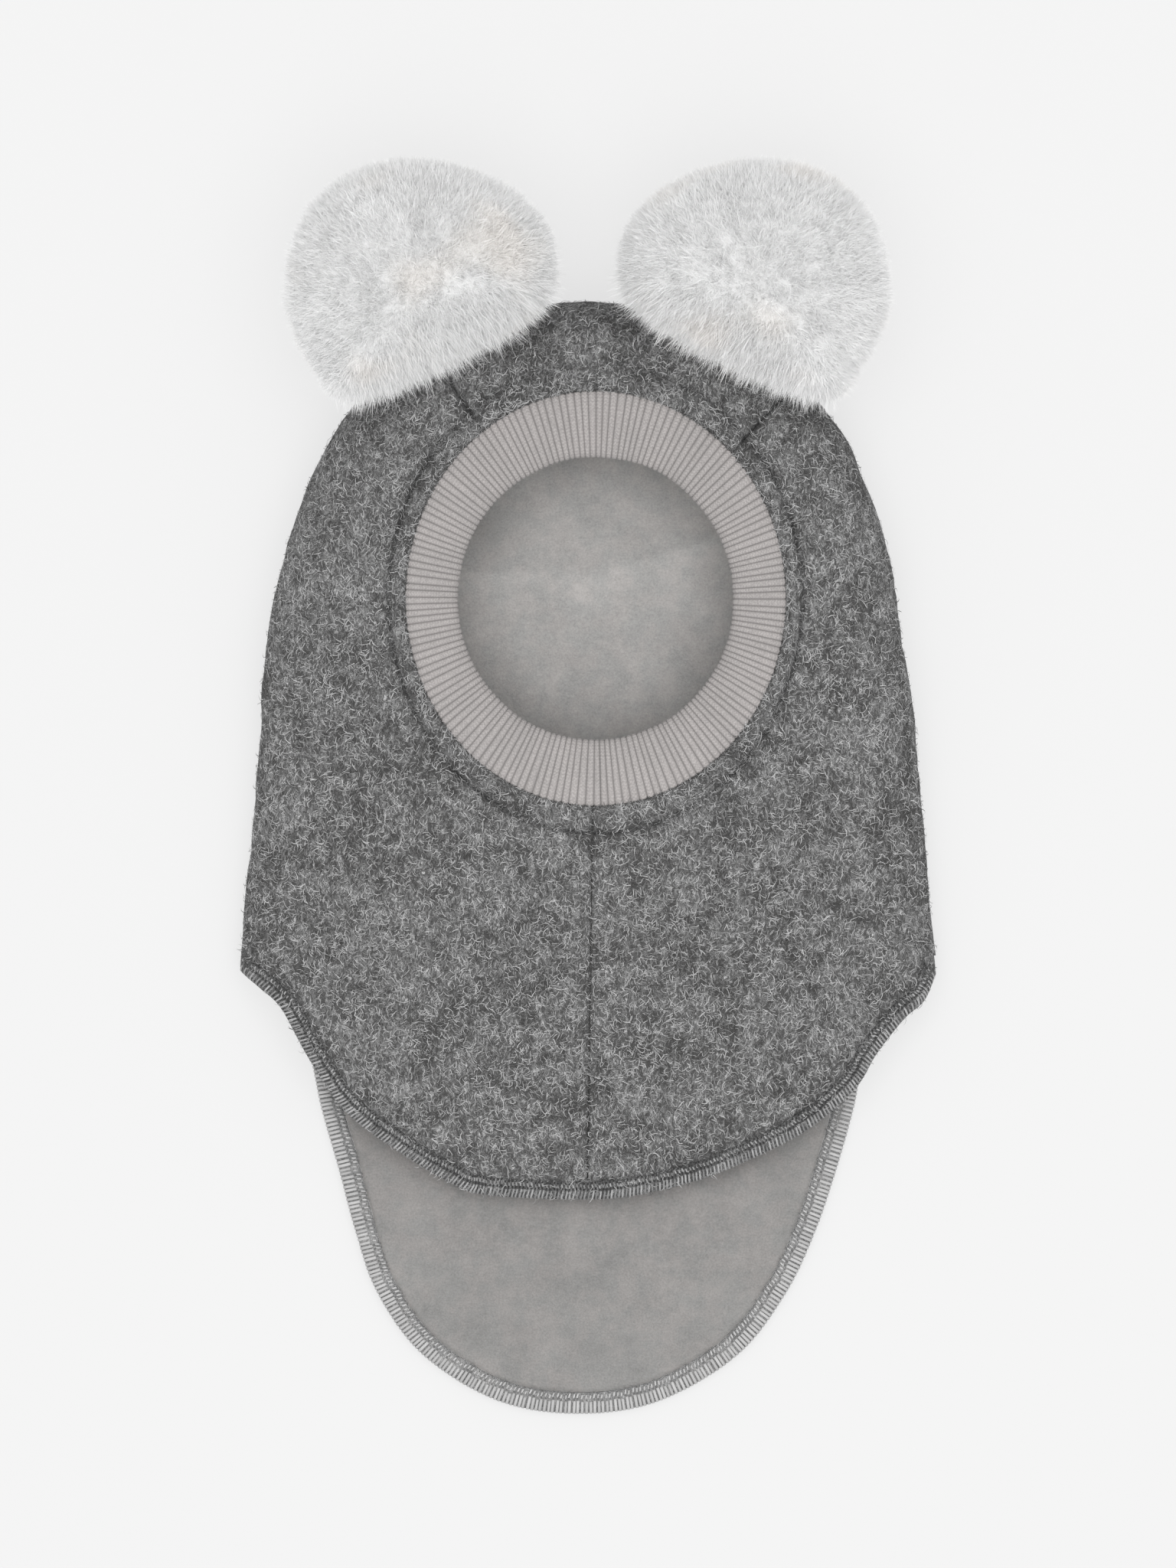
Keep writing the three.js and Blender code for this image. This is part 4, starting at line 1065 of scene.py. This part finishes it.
shortIn = [(4.8, -0.25, 0.35 - depth), (5.1, -0.15, -depth - 0.12), (6.0, 0.1, -depth - 0.12),
           (6.4, 0.2, 0.35 - depth)]
bibFrames = hemFrames(bibLine, "front", hem["bibPitch"], 3.0)
flapFrames = hemFrames(flapLine, "back", hem["flapPitch"], 3.5)
sewRow("overlockBib", bibFrames, wrapBib, bibThread, "hem_thread", hem["bibFlat"], hem["thread"])
sewRow("overlockBibShort", bibFrames, shortOut, bibThread, "hem_thread", 0.7, hem["thread"])
sewRow("overlockFlap", flapFrames, wrapFlap, flapThread, "hem_thread", hem["flapFlat"], hem["thread"])
sewRow("overlockFlapShort", flapFrames, shortIn, flapThread, "hem_thread", 0.75, hem["thread"])
sewRow("needleRowBib", bibFrames, [(3.15, 0.1, 0.06), (4.0, 0.0, 0.08)], holeShadeLook, "hem_thread", 0.62, 0.3)
sewRow("needleRowBibInner", bibFrames, [(5.35, 0.1, 0.06), (6.0, 0.0, 0.08)], holeShadeLook, "hem_thread", 0.52, 0.3)
sewRow("needleRowFlap", flapFrames, [(4.2, 0, 0.05 - depth), (4.7, 0, 0.05 - depth)], flapHoleShadeLook, "hem_thread", 0.6, 0.3)
sewRow("needleRowFlapInner", flapFrames, [(6.4, 0, 0.02 - depth), (6.8, 0, 0.0 - depth)], flapHoleShadeLook, "hem_thread",
       0.55, 0.3)
print("hem sewn")

# ---- loose fibres of the boiled wool
fuzz = {"perMetre2": 1050000.0, "smallest": 0.6, "largest": 1.3, "lean": 0.2, "kinds": 9}


def curlyFibre(random):
    # a short curl that lies on the cloth, thin and pointed
    length, turn = random.uniform(1.4, 3.4), random.uniform(-1.9, 1.9)
    steps = 3
    at, way, points, faces = np.array([0.0, 0.0]), random.uniform(-0.5, 0.5), [], []
    lift = random.uniform(0.25, 0.75)
    for i in range(steps + 1):
        share = i / steps
        half = 0.1 * (1 - share) ** 0.6 + 0.015
        aside = np.array([-math.sin(way), math.cos(way)]) * half
        z = -0.08 + lift * math.sin(share * 2.6)
        if i < steps:
            points += [(*(at - aside), z), (*(at + aside), z + 0.05)]
        else:
            points.append((*at, z))
        at = at + np.array([math.cos(way), math.sin(way)]) * length / steps
        way += turn / steps + random.uniform(-0.35, 0.35)
    for i in range(steps - 1):
        faces.append((2 * i, 2 * i + 2, 2 * i + 3, 2 * i + 1))
    faces.append((2 * steps - 2, 2 * steps, 2 * steps - 1))
    return points, faces


random = np.random.default_rng(17)
curls = strandSet("curl", [curlyFibre(random) for _ in range(fuzz["kinds"])])
fuzzLook = fuzzMaterial()


def outerSkin(piece, name, lowest):
    # the cloth's outer face alone, which the fibres grow from
    mesh = piece.data.copy()
    skin = bpy.data.objects.new(name, mesh)
    bpy.context.scene.collection.objects.link(skin)
    values = np.zeros(len(mesh.vertices), np.float32)
    mesh.attributes["inside"].data.foreach_get("value", values)
    spots = np.zeros(len(mesh.vertices) * 3, np.float32)
    mesh.vertices.foreach_get("co", spots)
    ok = (values < 0.5) & (spots.reshape(-1, 3)[:, 2] > lowest * mm)
    ways = np.zeros(len(mesh.vertices) * 3, np.float32)
    mesh.vertices.foreach_get("normal", ways)
    level = np.clip(ways.reshape(-1, 3)[:, 2] * 1.6, 0.12, 1)  # few stand out at the sides
    if "crease" in mesh.attributes:
        crease = np.zeros(len(mesh.vertices), np.float32)
        mesh.attributes["crease"].data.foreach_get("value", crease)
        level *= np.clip(1 - 1.3 * crease, 0, 1)
        loose = np.zeros(len(mesh.vertices), np.float32)
        mesh.attributes["fringe"].data.foreach_get("value", loose)
        level *= 1 + 2.2 * loose
    mesh.attributes.new("cover", "FLOAT", "POINT").data.foreach_set("value", (ok * level).astype(np.float32))
    return skin


for piece, name, seed in ((woolPieces[0], "woolFuzzLeft", 1), (woolPieces[1], "woolFuzzRight", 2),
                          (woolPieces[2], "woolFuzzCrown", 3), (hemPiece, "woolFuzzHem", 4)):
    skin = outerSkin(piece, "skin", 1.2)
    density = fuzz["perMetre2"] * (0.35 if piece is hemPiece else 1)
    grown = runTree(name, skin, scatter, fuzzLook, Strands=curls, Density=density, Seed=seed,
                    Lean=fuzz["lean"], Smallest=fuzz["smallest"], Largest=fuzz["largest"])
    drop(skin)
    finish(grown, "boiled_wool")
dropSet(curls)
print("wool fibres grown")

# ---- pompoms
pompom = {"inset": 2.4, "against": 2.4, "voxel": 2.0, "perMetre2": 600000.0, "smallest": 0.8, "largest": 1.2,
          "lean": 0.45, "tufts": 8, "strands": 11, "clear": 3.0, "wisps": 160000.0}


def yarnMaterial(name, low, high):
    material, tree, shader = newMaterial(name, 0.95, sheen=0.2, sheenRoughness=0.6, specular=0.1)
    place = objectPlace(tree)
    soft = add(tree, "ShaderNodeTexNoise", Vector=place, Scale=42.0, Detail=2.0).outputs["Fac"]
    warm = add(tree, "ShaderNodeTexNoise", Vector=place, Scale=30.0, Detail=1.0).outputs["Fac"]
    grain = add(tree, "ShaderNodeTexNoise", Vector=place, Scale=1400.0, Detail=2.0).outputs["Fac"]
    mixed = math2(tree, "ADD", math2(tree, "MULTIPLY", attribute(tree, "tone"), 0.3), math2(tree, "MULTIPLY", soft, 0.7))
    colour = mixColor(tree, ramp(tree, mixed, 0.2, 0.8), grey(low), grey(high))
    colour = mixColor(tree, ramp(tree, warm, 0.5, 0.75), colour, grey(low * 1.04, 0.02))
    tree.links.new(colour, shader.inputs["Base Color"])
    bump(tree, shader, grain, 0.0006, 0.6)
    return material


def yarnTuft(random, strands, shortest, longest, spread):
    # a tuft of thin strands, one narrow triangle each, spreading a little
    points, faces = [], []
    for _ in range(strands):
        root = random.normal(0, spread, 2)
        tip = root * 1.25 + random.normal(0, 0.9, 2)
        height = random.uniform(shortest, longest)
        turn, half, base = random.uniform(0, math.pi), random.uniform(0.1, 0.17), len(points)
        aside = np.array([math.cos(turn), math.sin(turn)]) * half
        points += [(*(root - aside), -0.5), (*(root + aside), -0.5), (*tip, height)]
        faces.append((base, base + 1, base + 2))
    return points, faces


yarnLook = yarnMaterial("pompomYarn", 0.89, 0.96)
# painted shade: the core is the same yarn made darker, 0.75 to 0.81 against 0.89 to 0.96, for the shade deep among the
# strands
shadedCoreLook = yarnMaterial("pompomCore", 0.75, 0.81)
tufts = strandSet("tuft", [yarnTuft(random, pompom["strands"], 1.8, 4.4, 1.0) for _ in range(pompom["tufts"])])
wisps = strandSet("wisp", [yarnTuft(random, 6, 4.5, 9.5, 0.8) for _ in range(pompom["tufts"])])
woolTree = KDTree(len(places))
for i, p in enumerate(places):
    woolTree.insert(p * mm, i)
woolTree.balance()


def makePompom(node, hand):
    source = frame["nodes"][node]
    source = source if hasattr(source, "data") else bpy.data.objects[node]
    core = source.copy()
    core.data = source.data.copy()
    core.parent = None
    core.name = "pompomCore" + hand
    bpy.context.scene.collection.objects.link(core)
    remesh = core.modifiers.new("round", "REMESH")
    remesh.mode, remesh.voxel_size = "VOXEL", pompom["voxel"] * mm
    smooth = core.modifiers.new("soften", "SMOOTH")
    smooth.iterations, smooth.factor = 14, 0.5
    bpy.context.view_layer.update()
    mesh = bpy.data.meshes.new_from_object(core.evaluated_get(bpy.context.evaluated_depsgraph_get()))
    core.modifiers.clear()
    core.data = mesh
    mesh.name = core.name
    count = len(mesh.vertices)
    spots, ways = np.zeros(count * 3), np.zeros(count * 3)
    mesh.vertices.foreach_get("co", spots)
    mesh.vertices.foreach_get("normal", ways)
    spots, ways = spots.reshape(-1, 3), ways.reshape(-1, 3)
    near = np.array([woolTree.find(p)[2] for p in spots]) / mm
    inwards = 1 if hand == "Left" else -1
    against = np.clip(ways @ np.array([0.475 * inwards, -0.88, 0.0]), 0, 1)
    inset = pompom["inset"] * (0.35 + 0.65 * np.clip((near - 2) / 6, 0, 1))
    inset += pompom["against"] * against * np.clip((near - 2) / 6, 0, 1)
    spots = spots - ways * inset[:, None] * mm
    mesh.vertices.foreach_set("co", spots.ravel())
    mesh.materials.clear()
    mesh.materials.append(shadedCoreLook)
    mesh.polygons.foreach_set("use_smooth", np.ones(len(mesh.polygons), bool))
    cover = np.clip((near - pompom["clear"]) / 2, 0, 1)
    cover *= np.clip(spots[:, 2] / mm / 4 - 1, 0, 1)  # the yarn it rests on is pressed flat
    mesh.attributes.new("cover", "FLOAT", "POINT").data.foreach_set("value", cover.astype(np.float32))
    mesh.attributes.new("tone", "FLOAT", "POINT").data.foreach_set("value", np.full(count, 0.5, np.float32))
    mesh.update()
    yarn = runTree("pompomYarn" + hand, core, scatter, yarnLook, Strands=tufts, Density=pompom["perMetre2"],
                   Seed=21 if hand == "Left" else 22, Lean=pompom["lean"], Smallest=pompom["smallest"],
                   Largest=pompom["largest"])
    overWool = cover * np.clip((against - 0.35) * 3, 0, 1) * (spots[:, 2] > 0.012)
    mesh.attributes["cover"].data.foreach_set("value", overWool.astype(np.float32))
    loose = runTree("pompomWisps" + hand, core, scatter, yarnLook, Strands=wisps, Density=pompom["wisps"],
                    Seed=31 if hand == "Left" else 32, Lean=0.3, Smallest=0.8, Largest=1.1)
    finish(core, "pompom_yarn", node)
    finish(yarn, "pompom_yarn")
    finish(loose, "pompom_yarn")


for node, hand in (("pompom_left", "Left"), ("pompom_right", "Right")):
    makePompom(node, hand)
dropSet(tufts)
dropSet(wisps)
print("pompoms made")

# ---- floor, light and camera
studio = {"floor": 0.18, "glow": 0.672, "world": 0.86, "key": 15.0, "keySize": 1.6, "keyHeight": 1.5}
view = {"distance": 8.0, "tall": 0.5325, "x": -0.0001, "y": 0.0012, "plane": 0.015}


def makeStudio():
    floorMesh = bpy.data.meshes.new("floor")
    s = 6.0
    floorMesh.from_pydata([(-s, -s, 0), (s, -s, 0), (s, s, 0), (-s, s, 0)], [], [(0, 1, 2, 3)])
    floor = bpy.data.objects.new("floor", floorMesh)
    floor.location.z = -0.0004
    bpy.context.scene.collection.objects.link(floor)
    material, tree, shader = newMaterial("paleFloor", 1.0, specular=0.0)
    shader.inputs["Base Color"].default_value = grey(studio["floor"])
    shader.inputs["Emission Color"].default_value = grey(1.0)
    shader.inputs["Emission Strength"].default_value = studio["glow"]
    floorMesh.materials.append(material)
    world = bpy.data.worlds.new("studio")
    bpy.context.scene.world = world
    world.use_nodes = True
    world.node_tree.nodes["Background"].inputs["Color"].default_value = (1, 1, 1, 1)
    world.node_tree.nodes["Background"].inputs["Strength"].default_value = studio["world"]
    light = bpy.data.lights.new("softbox", "AREA")
    light.size, light.energy = studio["keySize"], studio["key"]
    lamp = bpy.data.objects.new("softbox", light)
    lamp.location = (0.03, -0.03, studio["keyHeight"])
    lamp.rotation_euler = (Vector((0, 0, 0)) - Vector(lamp.location)).to_track_quat("-Z", "Y").to_euler()
    bpy.context.scene.collection.objects.link(lamp)
    camera = bpy.data.cameras.new("overhead")
    camera.sensor_fit, camera.sensor_height = "VERTICAL", 36.0
    camera.lens = 36.0 * (view["distance"] - view["plane"]) / view["tall"]
    camera.clip_end = 50.0
    eye = bpy.data.objects.new("overhead", camera)
    eye.location = (view["x"], view["y"], view["distance"])
    bpy.context.scene.collection.objects.link(eye)
    bpy.context.scene.camera = eye
    bpy.context.scene.view_settings.view_transform = "Standard"
    bpy.context.scene.view_settings.look = "None"


makeStudio()
print("studio set")
